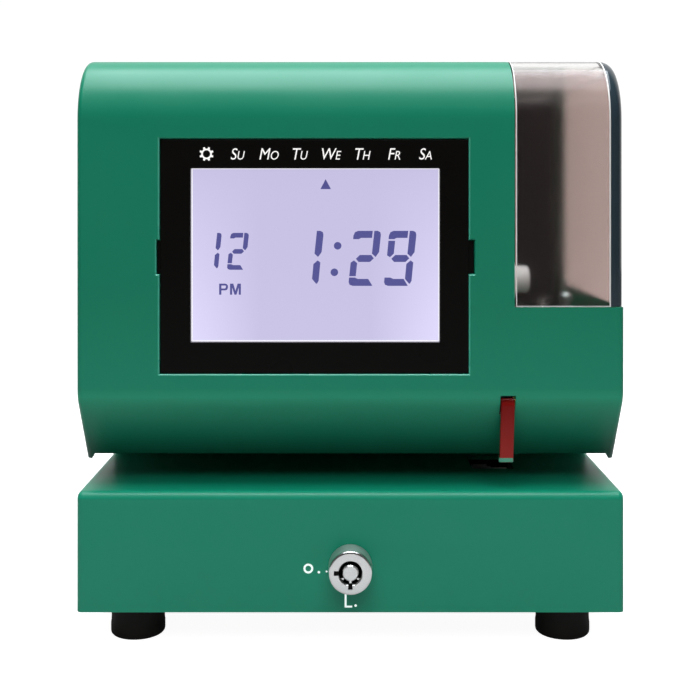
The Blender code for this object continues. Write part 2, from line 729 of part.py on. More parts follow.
def make_hammer():
    """Print hammer under the base top, its solenoid, plunger and return spring."""
    y, z = HAMMER_Y, HAMMER_Z
    arm = [(-39, -6), (-39, -1), (-6, -1), (-4, 5), (4, 5), (8, 2), (21, 2), (21, -3), (6, -3), (3, -6)]
    hammer = prism("print_hammer", shifted(arm, (y, z)), "x", *ARM_X, STEEL)
    head = [(-39, -6), (-39, 3.1), (-27, 11.8), (-27, -6)]
    join(hammer, prism("hammer_head", shifted(head, (y, z)), "x", *STRIKER_X, STEEL))
    cut(hammer, rod("hammer_bore_cut", HAMMER_PIN_RADIUS + GAP, "x", (y, z), 55, 80, STEEL))
    coil_y = (PLUNGER_Y - SOLENOID_HALF, PLUNGER_Y + SOLENOID_HALF)
    coil = box("hammer_solenoid", (56, 80), coil_y, (SEAT_Z, SOLENOID_TOP), COPPER, 1.0)
    cut(coil, rod("solenoid_bore_cut", PLUNGER_RADIUS + 0.5, "z", (STROKE_X, PLUNGER_Y), 10, 50, COPPER))
    rod("solenoid_plunger", PLUNGER_RADIUS, "z", (STROKE_X, PLUNGER_Y), *PLUNGER_Z, STEEL)
    make_spring()


def make_spring():
    """Helical return spring between the base plate and the hammer's arm."""
    turns, around, radius, low, high = 7, 12, 4.0, 19.8, 48.0
    curve = bpy.data.curves.new("hammer_spring", "CURVE")
    curve.dimensions = "3D"
    curve.bevel_depth = 0.6 * MM
    curve.bevel_resolution = 2
    curve.use_fill_caps = True
    count = turns * around + 1
    spline = curve.splines.new("POLY")
    spline.points.add(count - 1)
    for k, point in enumerate(spline.points):
        angle = math.tau * k / around
        x, y = STROKE_X + radius * math.cos(angle), -38 + radius * math.sin(angle)
        point.co = (x * MM, y * MM, (low + (high - low) * k / (count - 1)) * MM, 1)
    curve.materials.append(material(STEEL))
    PARTS.objects.link(bpy.data.objects.new("hammer_spring", curve))


def make_trigger():
    """Lever that the card's edge pushes back, and the switch behind it."""
    lever = rounded(
        [
            (TRIGGER_Y - 8.6, 72.6, 0.8),
            (TRIGGER_Y - 8.6, 76, 3),
            (TRIGGER_Y - 4, 92, 3),
            (TRIGGER_Y - 4, 99, 3),
            (TRIGGER_Y + 4, 99, 3),
            (TRIGGER_Y + 4, 91, 3),
            (TRIGGER_Y - 5.0, 72.6, 0.8),
        ],
        steps=3,
    )
    trigger = prism("card_trigger", lever, "x", *TRIGGER_X, BLACK)
    bore = rod("trigger_bore_cut", TRIGGER_PIN_RADIUS + GAP, "x", (TRIGGER_Y, TRIGGER_Z), 80, 90, BLACK, 16)
    cut(trigger, bore)
    box("trigger_switch", (80, 89.4), (-2.3, 12), (84, 96), BLACK, 0.6)


def make_electrics():
    """Transformer and control board on the base plate."""
    core = box("transformer_core", (-92, -44), (40, 64), (SEAT_Z, CORE_TOP), DARK_STEEL)
    for side, x in (("left", -84), ("right", -62)):
        cut(core, box(f"core_window_{side}_cut", (x, x + 10), (30, 80), (27, 51), DARK_STEEL))
    coil = box("transformer_coil", (-83.7, -52.3), (31, 73), (27.3, 50.7), COPPER, 2.0)
    cut(coil, box("core_leg_cut", (-74.3, -61.7), (39.7, 64.3), (10, 60), COPPER))
    board = box("control_board", (-112, 30), (-60, 20), BOARD_Z, BOARD)
    for number, (x, y) in enumerate(((-106, -54), (24, -54), (-106, 14), (24, 14)), start=1):
        cut(board, rod(f"board_hole_{number}_cut", STUD_RADIUS + GAP, "z", (x, y), 25, 32, BOARD, 12))
        outline = shifted(hexagon(POST_RADIUS), (x, y))
        post = prism(f"board_post_{number}", outline, "z", SEAT_Z, BOARD_Z[0] - GAP, BRASS)
        join(post, rod(f"board_stud_{number}", STUD_RADIUS, "z", (x, y), 25, 31.5, BRASS, 12))


def main():
    make_upper_wrap()
    make_sides()
    make_lower_wrap()
    make_window()
    make_display()
    make_pointer()
    make_lock()
    make_base()
    make_frames()
    make_card_guide()
    make_shield()
    make_print_train()
    make_ribbon()
    make_hammer()
    make_trigger()
    make_electrics()


clear_scene()
PARTS = collection("punch_time_clock")
CUTTERS = collection("cutters")
main()
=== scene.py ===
"""Looks of the punch time clock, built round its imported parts.

Lengths here are millimetres, turned into metres where points are placed. Each
piece is made at rest, in the parts' own frame, and rides on one of their bodies.
"""

import json
import math

import bmesh
import bpy
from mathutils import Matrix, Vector


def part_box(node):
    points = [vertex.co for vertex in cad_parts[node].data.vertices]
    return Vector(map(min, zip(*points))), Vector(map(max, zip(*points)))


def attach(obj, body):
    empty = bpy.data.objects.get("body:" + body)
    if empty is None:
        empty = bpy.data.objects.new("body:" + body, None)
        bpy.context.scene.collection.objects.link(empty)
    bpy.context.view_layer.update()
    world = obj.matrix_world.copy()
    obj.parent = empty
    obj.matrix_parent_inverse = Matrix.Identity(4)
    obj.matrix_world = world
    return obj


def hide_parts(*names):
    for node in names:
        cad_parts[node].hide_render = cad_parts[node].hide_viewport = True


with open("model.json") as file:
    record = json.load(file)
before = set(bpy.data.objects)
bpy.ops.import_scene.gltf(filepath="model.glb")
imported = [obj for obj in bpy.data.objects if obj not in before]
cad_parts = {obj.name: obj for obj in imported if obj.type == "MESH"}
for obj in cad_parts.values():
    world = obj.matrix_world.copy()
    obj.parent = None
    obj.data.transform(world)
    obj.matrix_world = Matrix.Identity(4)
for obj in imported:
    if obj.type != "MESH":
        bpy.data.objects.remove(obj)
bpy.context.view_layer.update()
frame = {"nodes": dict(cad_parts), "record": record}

MM = 0.001
# Degrees between faces from which an edge is drawn sharp, and from which it is rounded
SHARP = 32
CORNER = 40


def span(node):
    """Lowest and highest corner of a part, in millimetres."""
    low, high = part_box(node)
    return low / MM, high / MM


# Sizes read from the parts
WRAP_LOW, WRAP_HIGH = span("case_upper_wrap")
SIDE_LOW, SIDE_HIGH = span("case_left_side")
WINDOW_LOW, WINDOW_HIGH = span("corner_window")
BEZEL_LOW, BEZEL_HIGH = span("display_bezel")
LCD_LOW, LCD_HIGH = span("lcd_panel")
BARREL_LOW, BARREL_HIGH = span("lock_barrel")
PLUG_HIGH = span("lock_plug")[1]
POINTER_LOW, POINTER_HIGH = span("print_pointer")
PANEL_LOW, PANEL_HIGH = span("rear_panel")
BOARD_HIGH = span("control_board")[1]
FRONT, BACK, TOP = WRAP_LOW.y, WRAP_HIGH.y, WRAP_HIGH.z
SKIRT = SIDE_LOW.z
HALF = -SIDE_LOW.x
JAW = WRAP_LOW.z
SHEET = SIDE_HIGH.x - SIDE_LOW.x
LOCK_Z = (BARREL_LOW.z + BARREL_HIGH.z) / 2

# The case's heights, depths and bends
BASE_TOP = 69.0
LIP = 79.2
CHIN_Y = -76.0
CHIN_CORNER = 109.6
THROAT_Y = -15.0
SIDE_BEND = 2.4
BROW = 28.0
CHIN_RADIUS = 15.0
CORNER_BEND = 5.8
BASE_EDGE = 3.5

# The case's notch for the window, and its other openings as two (low, high) spans
WINDOW_SEAM = 0.6
WINDOW_CORNER = 10.0
WINDOW_WALL = 2.0
NOTCH_GAP = 0.3
NOTCH_ROUND = 0.45
LIP_ROUND = 1.8
POINTER_SLOT = ((65.8, 72.6), (102.0, 111.2))
HAMMER_OPENING = ((58.0, 78.0), (-52.0, -27.0))
TRIGGER_NOTCH = ((80.5, 87.5), (-20.0, -10.0))

# Display layout
EARS = (1.4, 2.1)
EAR_Z = (165.0, 179.0)
REVEAL = 0.5
SCREEN_X = (-70.1, 39.2)
SCREEN_Z = (134.6, 210.9)
LABEL_Z = 217.2
CONDENSED = 0.86
MARK = 0.05


# Shapes


def placed(axis, u, v, along):
    """A point in metres from its two cross-section coordinates and its place along an axis."""
    order = {"x": (along, u, v), "y": (u, along, v), "z": (u, v, along)}
    return tuple(value * MM for value in order[axis])


def rounded(corners, steps=6):
    """A path through (u, v, radius) corners, each inner corner an arc."""
    path = []
    for i, (u, v, radius) in enumerate(corners):
        if radius == 0:
            path.append((u, v))
            continue
        before = corners[i - 1]
        after = corners[(i + 1) % len(corners)]
        into = math.atan2(v - before[1], u - before[0])
        out = math.atan2(after[1] - v, after[0] - u)
        turn = math.remainder(out - into, math.tau)
        side = math.copysign(1, turn)
        back = radius * math.tan(abs(turn) / 2)
        start = (u - back * math.cos(into), v - back * math.sin(into))
        centre = (start[0] - side * radius * math.sin(into), start[1] + side * radius * math.cos(into))
        for k in range(steps + 1):
            angle = into - side * math.pi / 2 + turn * k / steps
            path.append((centre[0] + radius * math.cos(angle), centre[1] + radius * math.sin(angle)))
    return path


def rectangle(u, v, radius=0.0, steps=4):
    """A rectangle's outline from two (low, high) spans, with optional round corners."""
    corners = [(u[0], v[0]), (u[1], v[0]), (u[1], v[1]), (u[0], v[1])]
    return rounded([(*corner, radius) for corner in corners], steps)


def spans(low, high, by=0.0):
    """The X and Z spans of a box, grown by an amount all round."""
    return (low.x - by, high.x + by), (low.z - by, high.z + by)


def circle(radius, centre=(0.0, 0.0), steps=24):
    angles = [math.tau * k / steps for k in range(steps)]
    return [(centre[0] + radius * math.cos(a), centre[1] + radius * math.sin(a)) for a in angles]


def prism(bm, outline, axis, low, high):
    """Adds an outline extruded along an axis, with both ends closed."""
    rings = [[bm.verts.new(placed(axis, u, v, along)) for u, v in outline] for along in (low, high)]
    faces = [bm.faces.new(rings[0]), bm.faces.new(rings[1])]
    for k in range(len(outline)):
        j = (k + 1) % len(outline)
        faces.append(bm.faces.new((rings[0][k], rings[0][j], rings[1][j], rings[1][k])))
    bmesh.ops.recalc_face_normals(bm, faces=faces)


def lathe(bm, profile, axis, centre, steps=64, closed=False):
    """Adds a (radius, along) profile turned about an axis."""
    rings = []
    for radius, along in profile:
        count = steps if radius else 1
        ring = circle(radius, centre, count)
        rings.append([bm.verts.new(placed(axis, u, v, along)) for u, v in ring])
    pairs = list(zip(rings, rings[1:]))
    if closed:
        pairs.append((rings[-1], rings[0]))
    faces = []
    for one, two in pairs:
        for k in range(steps):
            j = (k + 1) % steps
            corners = (one[k % len(one)], one[j % len(one)], two[j % len(two)], two[k % len(two)])
            faces.append(bm.faces.new(tuple(dict.fromkeys(corners))))
    bmesh.ops.recalc_face_normals(bm, faces=faces)


def block(bm, x, y, z):
    """Adds a box from three (low, high) spans."""
    prism(bm, rectangle(x, y), "z", *z)


def smooth(mesh):
    mesh.shade_smooth()
    mesh.set_sharp_from_angle(angle=math.radians(SHARP))


def made(name, bm):
    """Turns a bmesh into a smooth-shaded object."""
    mesh = bpy.data.meshes.new(name)
    bm.to_mesh(mesh)
    bm.free()
    smooth(mesh)
    item = bpy.data.objects.new(name, mesh)
    bpy.context.scene.collection.objects.link(item)
    return item


def soften(item, width, segments=2):
    """Rounds an object's sharp edges."""
    step = item.modifiers.new("edges", "BEVEL")
    step.width = width * MM
    step.segments = segments
    step.limit_method = "ANGLE"
    step.angle_limit = math.radians(CORNER)
    step.harden_normals = True
    return item


def thickened(item, wall):
    """Turns a skin into a sheet, inwards."""
    step = item.modifiers.new("wall", "SOLIDIFY")
    step.thickness = wall * MM
    step.offset = -1
    step.use_even_offset = True
    return item


def even_shading(item):
    """Keeps flat faces flat beside rounded edges."""
    item.modifiers.new("shading", "WEIGHTED_NORMAL").keep_sharp = True


def applied(item):
    """Turns the object's modifiers into its mesh."""
    graph = bpy.context.evaluated_depsgraph_get()
    item.data = bpy.data.meshes.new_from_object(item.evaluated_get(graph))
    item.modifiers.clear()
    return item


def carved(item, *cutters):
    """Cuts the cutters out of an object and removes them."""
    for tool in cutters:
        item.modifiers.new("cut", "BOOLEAN").object = tool
    applied(item)
    for tool in cutters:
        bpy.data.objects.remove(tool)


def solid(name, axis, low, high, *outlines):
    """An object extruded from one or more outlines."""
    bm = bmesh.new()
    for outline in outlines:
        prism(bm, outline, axis, low, high)
    return made(name, bm)


def cutter(outline, axis, low, high):
    return solid("cutter", axis, low, high, outline)


def piece(item, body, slot, *nodes, look=None):
    """Gives a piece its body and a finish, its own or its slot's, and hides the parts it stands for."""
    item.data.materials.append(look or LOOKS[slot])
    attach(item, body)
    if nodes:
        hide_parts(*nodes)
    return item


def add(name, bm, body, slot, *nodes, look=None, edge=0.0):
    """Turns a bmesh into a piece, its sharp edges rounded where a width is given."""
    item = made(name, bm)
    if edge:
        soften(item, edge)
    return piece(item, body, slot, *nodes, look=look)


def coat(item, look, chosen):
    """Gives another finish to the faces chosen by middle and normal."""
    item.data.materials.append(look)
    for polygon in item.data.polygons:
        if chosen(polygon.center / MM, polygon.normal):
            polygon.material_index = len(item.data.materials) - 1


# Materials


def filled(item, **settings):
    """Sets a node's properties, and its inputs to values or from sockets."""
    for name, value in settings.items():
        target = item.inputs.get(name.replace("_", " "))
        if target is None:
            setattr(item, name, value)
        elif isinstance(value, bpy.types.NodeSocket):
            item.id_data.links.new(value, target)
        else:
            target.default_value = value
    return item


def node(tree, kind, **settings):
    return filled(tree.nodes.new(kind), **settings)


def painted(look, **settings):
    """Sets a material's shader."""
    filled(look.node_tree.nodes["Principled BSDF"], **settings)
    return look


def principled(name, colour, roughness, metallic=0.0, **inputs):
    look = bpy.data.materials.new(name)
    look.use_nodes = True
    return painted(look, Base_Color=(*colour, 1), Roughness=roughness, Metallic=metallic, **inputs)


def coordinates(tree, stretch=(1, 1, 1)):
    place = node(tree, "ShaderNodeTexCoord").outputs["Object"]
    return node(tree, "ShaderNodeMapping", Vector=place, Scale=stretch).outputs["Vector"]


def axes(tree):
    """The X, Y and Z sockets of the piece's own coordinates."""
    return node(tree, "ShaderNodeSeparateXYZ", Vector=coordinates(tree)).outputs


def reckoned(tree, operation, *values):
    """The outcome of a math node on sockets and numbers."""
    item = node(tree, "ShaderNodeMath", operation=operation)
    for value, target in zip(values, item.inputs):
        if isinstance(value, float):
            target.default_value = value
        else:
            tree.links.new(value, target)
    return item.outputs[0]


def mixed(tree, factor, dark, light):
    """A colour between two, by a factor socket."""
    mix = node(tree, "ShaderNodeMix", data_type="RGBA")
    tree.links.new(factor, mix.inputs[0])
    mix.inputs[6].default_value = (*dark, 1)
    mix.inputs[7].default_value = (*light, 1)
    return mix.outputs[2]


def ranged(tree, value, low, high, start=0.0, end=1.0):
    """Maps a socket's values from start..end to low..high."""
    limits = {"From_Min": start, "From_Max": end, "To_Min": low, "To_Max": high}
    return node(tree, "ShaderNodeMapRange", Value=value, **limits).outputs["Result"]


def bumped(tree, height, distance):
    bump = node(tree, "ShaderNodeBump", Height=height, Strength=1.0, Distance=distance * MM)
    return bump.outputs["Normal"]


def grained(
    name, colour, roughness, metallic=0.0, size=0.6, depth=0.01, tint=0.06, stretch=(1, 1, 1), **inputs
):
    """A finish whose grain of the given size varies its colour, gloss and height a little."""
    look = principled(name, colour, roughness, metallic, **inputs)
    tree = look.node_tree
    place = coordinates(tree, stretch)
    fine = node(tree, "ShaderNodeTexNoise", Vector=place, Scale=1 / (size * MM), Detail=3.0)
    broad = node(tree, "ShaderNodeTexNoise", Vector=place, Scale=1 / (40 * MM), Detail=2.0)
    fine, broad = fine.outputs["Fac"], broad.outputs["Fac"]
    share = ranged(tree, reckoned(tree, "MULTIPLY", fine, broad), 0, 1, 0.12, 0.4)
    dark = [c * (1 - tint) for c in colour]
    light = [min(1.0, c * (1 + tint)) for c in colour]
    return painted(
        look,
        Base_Color=mixed(tree, share, dark, light),
        Roughness=ranged(tree, broad, roughness - 0.04, roughness + 0.04, 0.3, 0.7),
        Normal=bumped(tree, fine, depth),
    )


def lit_screen():
    """Edge-lit display: lavender, brighter towards its left and right ends."""
    look = principled("display_light", (0.02, 0.02, 0.03), 0.12)
    tree = look.node_tree
    place = axes(tree)
    middle = (SCREEN_X[0] + SCREEN_X[1]) / 2 * MM
    half = (SCREEN_X[1] - SCREEN_X[0]) / 2 * MM
    distance = reckoned(tree, "ABSOLUTE", reckoned(tree, "SUBTRACT", place["X"], middle))
    ends = ranged(tree, distance, 0.0, 1.0, half * 0.45, half)
    up = ranged(tree, place["Z"], 1.0, 0.1, SCREEN_Z[0] * MM, SCREEN_Z[1] * MM)
    colour = mixed(tree, reckoned(tree, "MULTIPLY", ends, up), (0.565, 0.53, 0.76), (0.74, 0.70, 0.97))
    return painted(look, Emission_Color=colour, Emission_Strength=1.0)


def glowing(name, colour):
    """A printed or polarised mark that glows in its own colour: behind the display's marks lies its
    light, while on printed marks the glow is painted light.
    """
    look = grained(name, [c * 0.3 for c in colour], 0.4, depth=0.0)
    return painted(look, Emission_Color=(*colour, 1), Emission_Strength=0.85)


def circuit_finish():
    """Solder mask over copper tracks."""
    look = principled("solder_mask", (0.01, 0.07, 0.03), 0.35)
    tree = look.node_tree
    sizes = {"Scale": 1.0, "Brick_Width": 0.012, "Row_Height": 0.0021, "Mortar_Size": 0.00025}
    place = coordinates(tree)
    tracks = node(tree, "ShaderNodeTexBrick", Vector=place, offset=0.37, **sizes).outputs["Fac"]
    colours = mixed(tree, tracks, (0.008, 0.085, 0.035), (0.02, 0.16, 0.06))
    return painted(look, Base_Color=colours, Normal=bumped(tree, tracks, 0.035))


def wound_finish(name, colour, pitch, direction):
    """Fine turns of varnished wire, or the threads of a ribbon."""
    look = principled(name, colour, 0.35, 0.3)
    tree = look.node_tree
    settings = {"Scale": 0.31 / (pitch * MM), "Distortion": 0.4, "bands_direction": direction}
    wave = node(tree, "ShaderNodeTexWave", Vector=coordinates(tree), **settings).outputs["Fac"]
    shade = mixed(tree, wave, [c * 0.55 for c in colour], colour)
    return painted(look, Base_Color=shade, Normal=bumped(tree, wave, pitch * 0.2))


def banded(look, low, high, first, second):
    """Blends a material from one colour at a low height to another at a high one."""
    tree = look.node_tree
    share = ranged(tree, axes(tree)["Z"], 0.0, 1.0, low * MM, high * MM)
    return painted(look, Base_Color=mixed(tree, share, first, second))


def pointer_finish():
    """Clear red plastic, painted brighter towards its lower end as painted light."""
    look = principled("clear_red", (0.16, 0.004, 0.003), 0.14, Specular_IOR_Level=0.08)
    return banded(look, POINTER_LOW.z, POINTER_HIGH.z, (0.34, 0.03, 0.026), (0.155, 0.0035, 0.0025))


def make_looks():
    """One finish for each slot that the record names."""
    return {
        "green_paint": green_finish(),
        "black_plastic": grained(
            "black_satin", (0.0032, 0.0028, 0.0024), 0.30, size=0.3, depth=0.004, Specular_IOR_Level=0.08
        ),
        "smoke_plastic": window_finish(),
        "display_glass": lit_screen(),
        "diffuser": grained("diffuser_white", (0.8, 0.8, 0.85), 0.5),
        "circuit_board": circuit_finish(),
        "red_plastic": pointer_finish(),
        "nickel": grained("bright_nickel", (0.86, 0.84, 0.82), 0.22, 1.0, size=0.5, depth=0.003),
        "steel": grained(
            "zinc_steel", (0.50, 0.50, 0.49), 0.36, 1.0, size=0.9, depth=0.004, stretch=(1, 1, 7)
        ),
        "dark_steel": grained(
            "black_steel", (0.0035, 0.003, 0.0027), 0.5, size=0.5, depth=0.012, Specular_IOR_Level=0.12
        ),
        "rubber": grained(
            "moulded_rubber", (0.009, 0.0075, 0.006), 0.72, size=0.35, depth=0.03, Specular_IOR_Level=0.3
        ),
        "white_plastic": grained("white_nylon", (0.72, 0.71, 0.68), 0.38, size=0.4, depth=0.006),
        "brass": grained("machined_brass", (0.66, 0.47, 0.19), 0.28, 1.0, size=0.7, depth=0.003),
        "inked_ribbon": wound_finish("ribbon_weave", (0.045, 0.012, 0.03), 0.25, "X"),
        "winding": wound_finish("copper_winding", (0.42, 0.16, 0.05), 0.5, "Z"),
    }


UPPER_GREEN = (0.003, 0.184, 0.100)
# Paler green for the base: painted light, where the base catches more light than the upper housing
PAINTED_LIGHT_LOWER_GREEN = (0.0045, 0.230, 0.132)
# The chin's painted shade and painted highlight: factors on the coat's colour at heights from the throat
# up to the end of its bend
CHIN_PAINTED_SHADING = ((82.0, 0.28), (87.0, 0.45), (92.0, 0.68), (98.0, 0.95))
CHIN_PAINTED_SHADING += ((105.0, 1.3), (110.5, 1.6), (114.2, 1.13))


def green_coat(name):
    return grained(name, UPPER_GREEN, 0.34, size=0.55, depth=0.008, tint=0.03, Specular_IOR_Level=0.36)


def green_finish():
    """Satin powder coat, painted a little paler towards the feet as painted light."""
    return banded(green_coat("green_powder_coat"), 75.0, 150.0, PAINTED_LIGHT_LOWER_GREEN, UPPER_GREEN)


def chin_painted_shading_finish():
    """The same coat under the chin with painted shading: a painted highlight lightest along the bend and
    painted shade darkest in the throat.
    """
    look = green_coat("chin_painted_shading_coat")
    tree = look.node_tree
    low, high = CHIN_PAINTED_SHADING[0][0], CHIN_PAINTED_SHADING[-1][0]
    height = ranged(tree, axes(tree)["Z"], 0.0, 1.0, low * MM, high * MM)
    ramp = node(tree, "ShaderNodeValToRGB", Fac=height)
    stops = ramp.color_ramp.elements
    while len(stops) < len(CHIN_PAINTED_SHADING):
        stops.new(0.5)
    for stop, (z, shade) in zip(stops, CHIN_PAINTED_SHADING):
        stop.position = (z - low) / (high - low)
        stop.color = (*(value * shade for value in UPPER_GREEN), 1)
    return painted(look, Base_Color=ramp.outputs["Color"])


# Where the window's painted sheen, a pale band on its top, fades out
PAINTED_SHEEN_Y = (-56.0, -40.0)


def window_finish():
    """Smoke acrylic that tints what lies behind it, with a painted sheen, paler and glossier, where its
    brow meets its top.
    """
    tinted, painted_sheen = (0.84, 0.72, 0.69), (1.0, 0.995, 0.985)
    look = grained("smoke_acrylic", tinted, 0.2, depth=0.0, Transmission_Weight=1.0, IOR=1.22)
    tree = look.node_tree
    place = axes(tree)
    height = ranged(tree, place["Z"], 0.0, 1.0, (TOP - 7) * MM, (TOP - 5) * MM)
    reach = ranged(tree, place["Y"], 1.0, 0.0, PAINTED_SHEEN_Y[0] * MM, PAINTED_SHEEN_Y[1] * MM)
    both = reckoned(tree, "MULTIPLY", height, reach)
    colour = mixed(tree, both, tinted, painted_sheen)
    return painted(look, Base_Color=colour, Roughness=ranged(tree, both, 0.2, 0.06))


LOOKS = make_looks()
# Printed white ink on the bezel, with a painted glow
WHITE_INK_PAINTED_GLOW = glowing("white_ink_painted_glow", (0.88, 0.86, 0.84))
LCD_INK = glowing("lcd_segments", (0.078, 0.076, 0.262))
RIM_LIGHT = glowing("screen_rim", (0.95, 0.93, 1.0))
# Printed ink on the base, with a painted glow
LOCK_INK_PAINTED_GLOW = glowing("lock_ink_painted_glow", (0.84, 0.97, 0.93))
BRUSHED_NICKEL = grained("brushed_nickel", (0.74, 0.73, 0.71), 0.5, 1.0, size=0.4, depth=0.004)
# Pale strips on the window's edges: polished acrylic with painted highlights
POLISHED_EDGE_AND_GLINT = grained("polished_acrylic_edge_and_glint", (0.66, 0.65, 0.63), 0.3, depth=0.0)
# The window's thick rounded corner, drawn opaque and painted dark: a painted reflection of the dark room
# beside it
PAINTED_DARK_EDGE = grained("smoke_acrylic_painted_dark_edge", (0.020, 0.034, 0.043), 0.10, depth=0.0)
CHIN_PAINTED_SHADING_COAT = chin_painted_shading_finish()
# Paler, glossier coat on the display opening's rounded lip: a painted highlight
RIM_PAINTED_HIGHLIGHT = grained("rim_painted_highlight_coat", (0.035, 0.33, 0.22), 0.28, depth=0.0, Specular_IOR_Level=1.0)
# Pale green on the pointer's lower end face: a painted highlight
POINTER_TIP_PAINTED_GLINT = grained("pointer_end_painted_glint", (0.06, 0.30, 0.19), 0.3, depth=0.0)
POST_LOOK = grained("satin_post", (0.22, 0.30, 0.30), 0.4, 1.0, depth=0.003)
NATURAL_NYLON = grained("natural_nylon", (0.60, 0.74, 0.76), 0.4, size=0.4, depth=0.006)


# The case


def case_outline():
    """The case's C-shaped outline in (y, z), from the front skirt round to the back."""
    lean = (FRONT - CHIN_Y) / (CHIN_CORNER - JAW)
    return rounded(
        [
            (FRONT, SKIRT, 0),
            (FRONT, BASE_TOP, BASE_EDGE),
            (THROAT_Y, BASE_TOP, 3),
            (THROAT_Y, LIP, 0),
            (CHIN_Y + (LIP - JAW) * lean, LIP, 0),
            (FRONT, CHIN_CORNER, CHIN_RADIUS),
            (FRONT, TOP, BROW),
            (BACK, TOP, 0),
            (BACK, SKIRT, 0),
        ],
        steps=12,
    )


def on_plane(face, axis, level):
    return all(abs(vert.co[axis] / MM - level) < 0.01 for vert in face.verts)


def bevel(bm, edges, width, segments):
    settings = {"profile": 0.5, "affect": "EDGES", "clamp_overlap": True}
    bmesh.ops.bevel(bm, geom=list(edges), offset=width * MM, segments=segments, **settings)


def open_shell(outline, x, bend, open_faces, wall, name):
    """A prism along X with some faces left open, its side edges bent round, and a wall thickness."""
    bm = bmesh.new()
    prism(bm, outline, "x", *x)
    gone = [face for face in bm.faces if open_faces(face)]
    bmesh.ops.delete(bm, geom=gone, context="FACES")
    ends = [face for face in bm.faces if abs(face.normal.x) > 0.9]
    edges = {edge for face in ends for edge in face.edges if len(edge.link_faces) == 2}
    bevel(bm, edges, bend, 6)
    return applied(thickened(made(name, bm), wall))


def rim_bevel(item, chosen, width, segments):
    """Rounds those of a mesh's sharply turning edges that are chosen."""
    bm = bmesh.new()
    bm.from_mesh(item.data)
    edges = [edge for edge in bm.edges if edge.calc_face_angle(0) > 1.0 and chosen(edge)]
    bevel(bm, edges, width, segments)
    bm.to_mesh(item.data)
    bm.free()


def display_rim(edge):
    """Front edges of the display opening."""
    middle = (edge.verts[0].co + edge.verts[1].co) / 2 / MM
    across = BEZEL_LOW.x - 3 < middle.x < BEZEL_HIGH.x + 3
    up = BEZEL_LOW.z - 3 < middle.z < BEZEL_HIGH.z + 3
    return across and up and on_plane(edge, 1, FRONT)


def window_rim(edge):
    """Outer edges of the notch that the window fills."""
    middle = (edge.verts[0].co + edge.verts[1].co) / 2 / MM
    near = middle.x > WINDOW_LOW.x - 1 and middle.z > WINDOW_LOW.z - 1
    outer = middle.y < FRONT + 0.2 or middle.x > HALF - 0.2 or middle.z > TOP - 0.2
    return near and outer


def make_case():
    """One seamless painted shell for the case's wraps and sides."""
    shell = open_shell(
        case_outline(),
        (-HALF, HALF),
        SIDE_BEND,
        lambda face: on_plane(face, 1, BACK) or on_plane(face, 2, SKIRT) or on_plane(face, 2, LIP),
        SHEET,
        "case_shell",
    )
    deep = (FRONT - 5, FRONT + 5)
    opening_x = (BEZEL_LOW.x + EARS[0] - REVEAL, BEZEL_HIGH.x - EARS[1])
    opening_z = (BEZEL_LOW.z - REVEAL, BEZEL_HIGH.z + REVEAL)
    ear_x = (BEZEL_LOW.x - REVEAL, BEZEL_HIGH.x + REVEAL)
    notch = rounded(
        [
            (FRONT - 5, WINDOW_LOW.z - NOTCH_GAP, 0),
            (WINDOW_HIGH.y + NOTCH_GAP, WINDOW_LOW.z - NOTCH_GAP, WINDOW_CORNER + NOTCH_GAP),
            (WINDOW_HIGH.y + NOTCH_GAP, TOP + 5, 0),
            (FRONT - 5, TOP + 5, 0),
        ]
    )
    chin = [(-HALF + 1.8, LIP - 1), (-HALF + 3.8, JAW), (HALF - 3.8, JAW), (HALF - 1.8, LIP - 1)]
    carved(
        shell,
        cutter(rectangle(opening_x, opening_z), "y", *deep),
        cutter(rectangle(ear_x, (EAR_Z[0] - REVEAL, EAR_Z[1] + REVEAL)), "y", *deep),
        cutter(notch, "x", WINDOW_LOW.x - WINDOW_SEAM, HALF + 5),
        cutter(chin, "y", FRONT - 5, THROAT_Y - 2),
        cutter(rectangle(*POINTER_SLOT), "y", FRONT - 5, FRONT + 13),
        cutter(circle(BARREL_HIGH.x + 0.08, (0, LOCK_Z), 64), "y", *deep),
        cutter(rectangle(*HAMMER_OPENING), "z", BASE_TOP - 5, BASE_TOP + 5),
        cutter(rectangle(*TRIGGER_NOTCH), "z", BASE_TOP + 1.6, LIP + 5),
    )
    rim_bevel(shell, display_rim, LIP_ROUND, 5)
    rim_bevel(shell, window_rim, NOTCH_ROUND, 2)
    smooth(shell.data)
    even_shading(shell)
    nodes = ("case_upper_wrap", "case_lower_wrap", "case_left_side", "case_right_side")
    piece(shell, "case", "green_paint", *nodes)

    def in_opening(middle, normal):
        across = opening_x[0] - 2 < middle.x < opening_x[1] + 2
        up = opening_z[0] - 2 < middle.z < opening_z[1] + 2
        return across and up and middle.y < FRONT + SHEET and abs(normal.y) < 0.99

    def under_chin(middle, normal):
        turned_under = normal.z < -0.02 and normal.y < -0.1
        return turned_under and middle.y < CHIN_Y + 1 and middle.z > JAW - 1

    # The display opening's rounded lip gets its painted highlight
    coat(shell, RIM_PAINTED_HIGHLIGHT, in_opening)
    # The faces under the chin get the coat with painted shade and painted highlight
    coat(shell, CHIN_PAINTED_SHADING_COAT, under_chin)
    make_chin_flange()


def make_chin_flange():
    """The upper housing's sheet, turned in under the chin."""
    back, upper = CHIN_Y + 10, JAW + SHEET
    outline = rounded([(CHIN_Y, JAW, 0.8), (back, JAW, 0.5), (back, upper, 0.5), (CHIN_Y, upper, 0)])
    piece(solid("chin_flange", "x", -HALF + 3.9, HALF - 3.9, outline), "case", "green_paint")


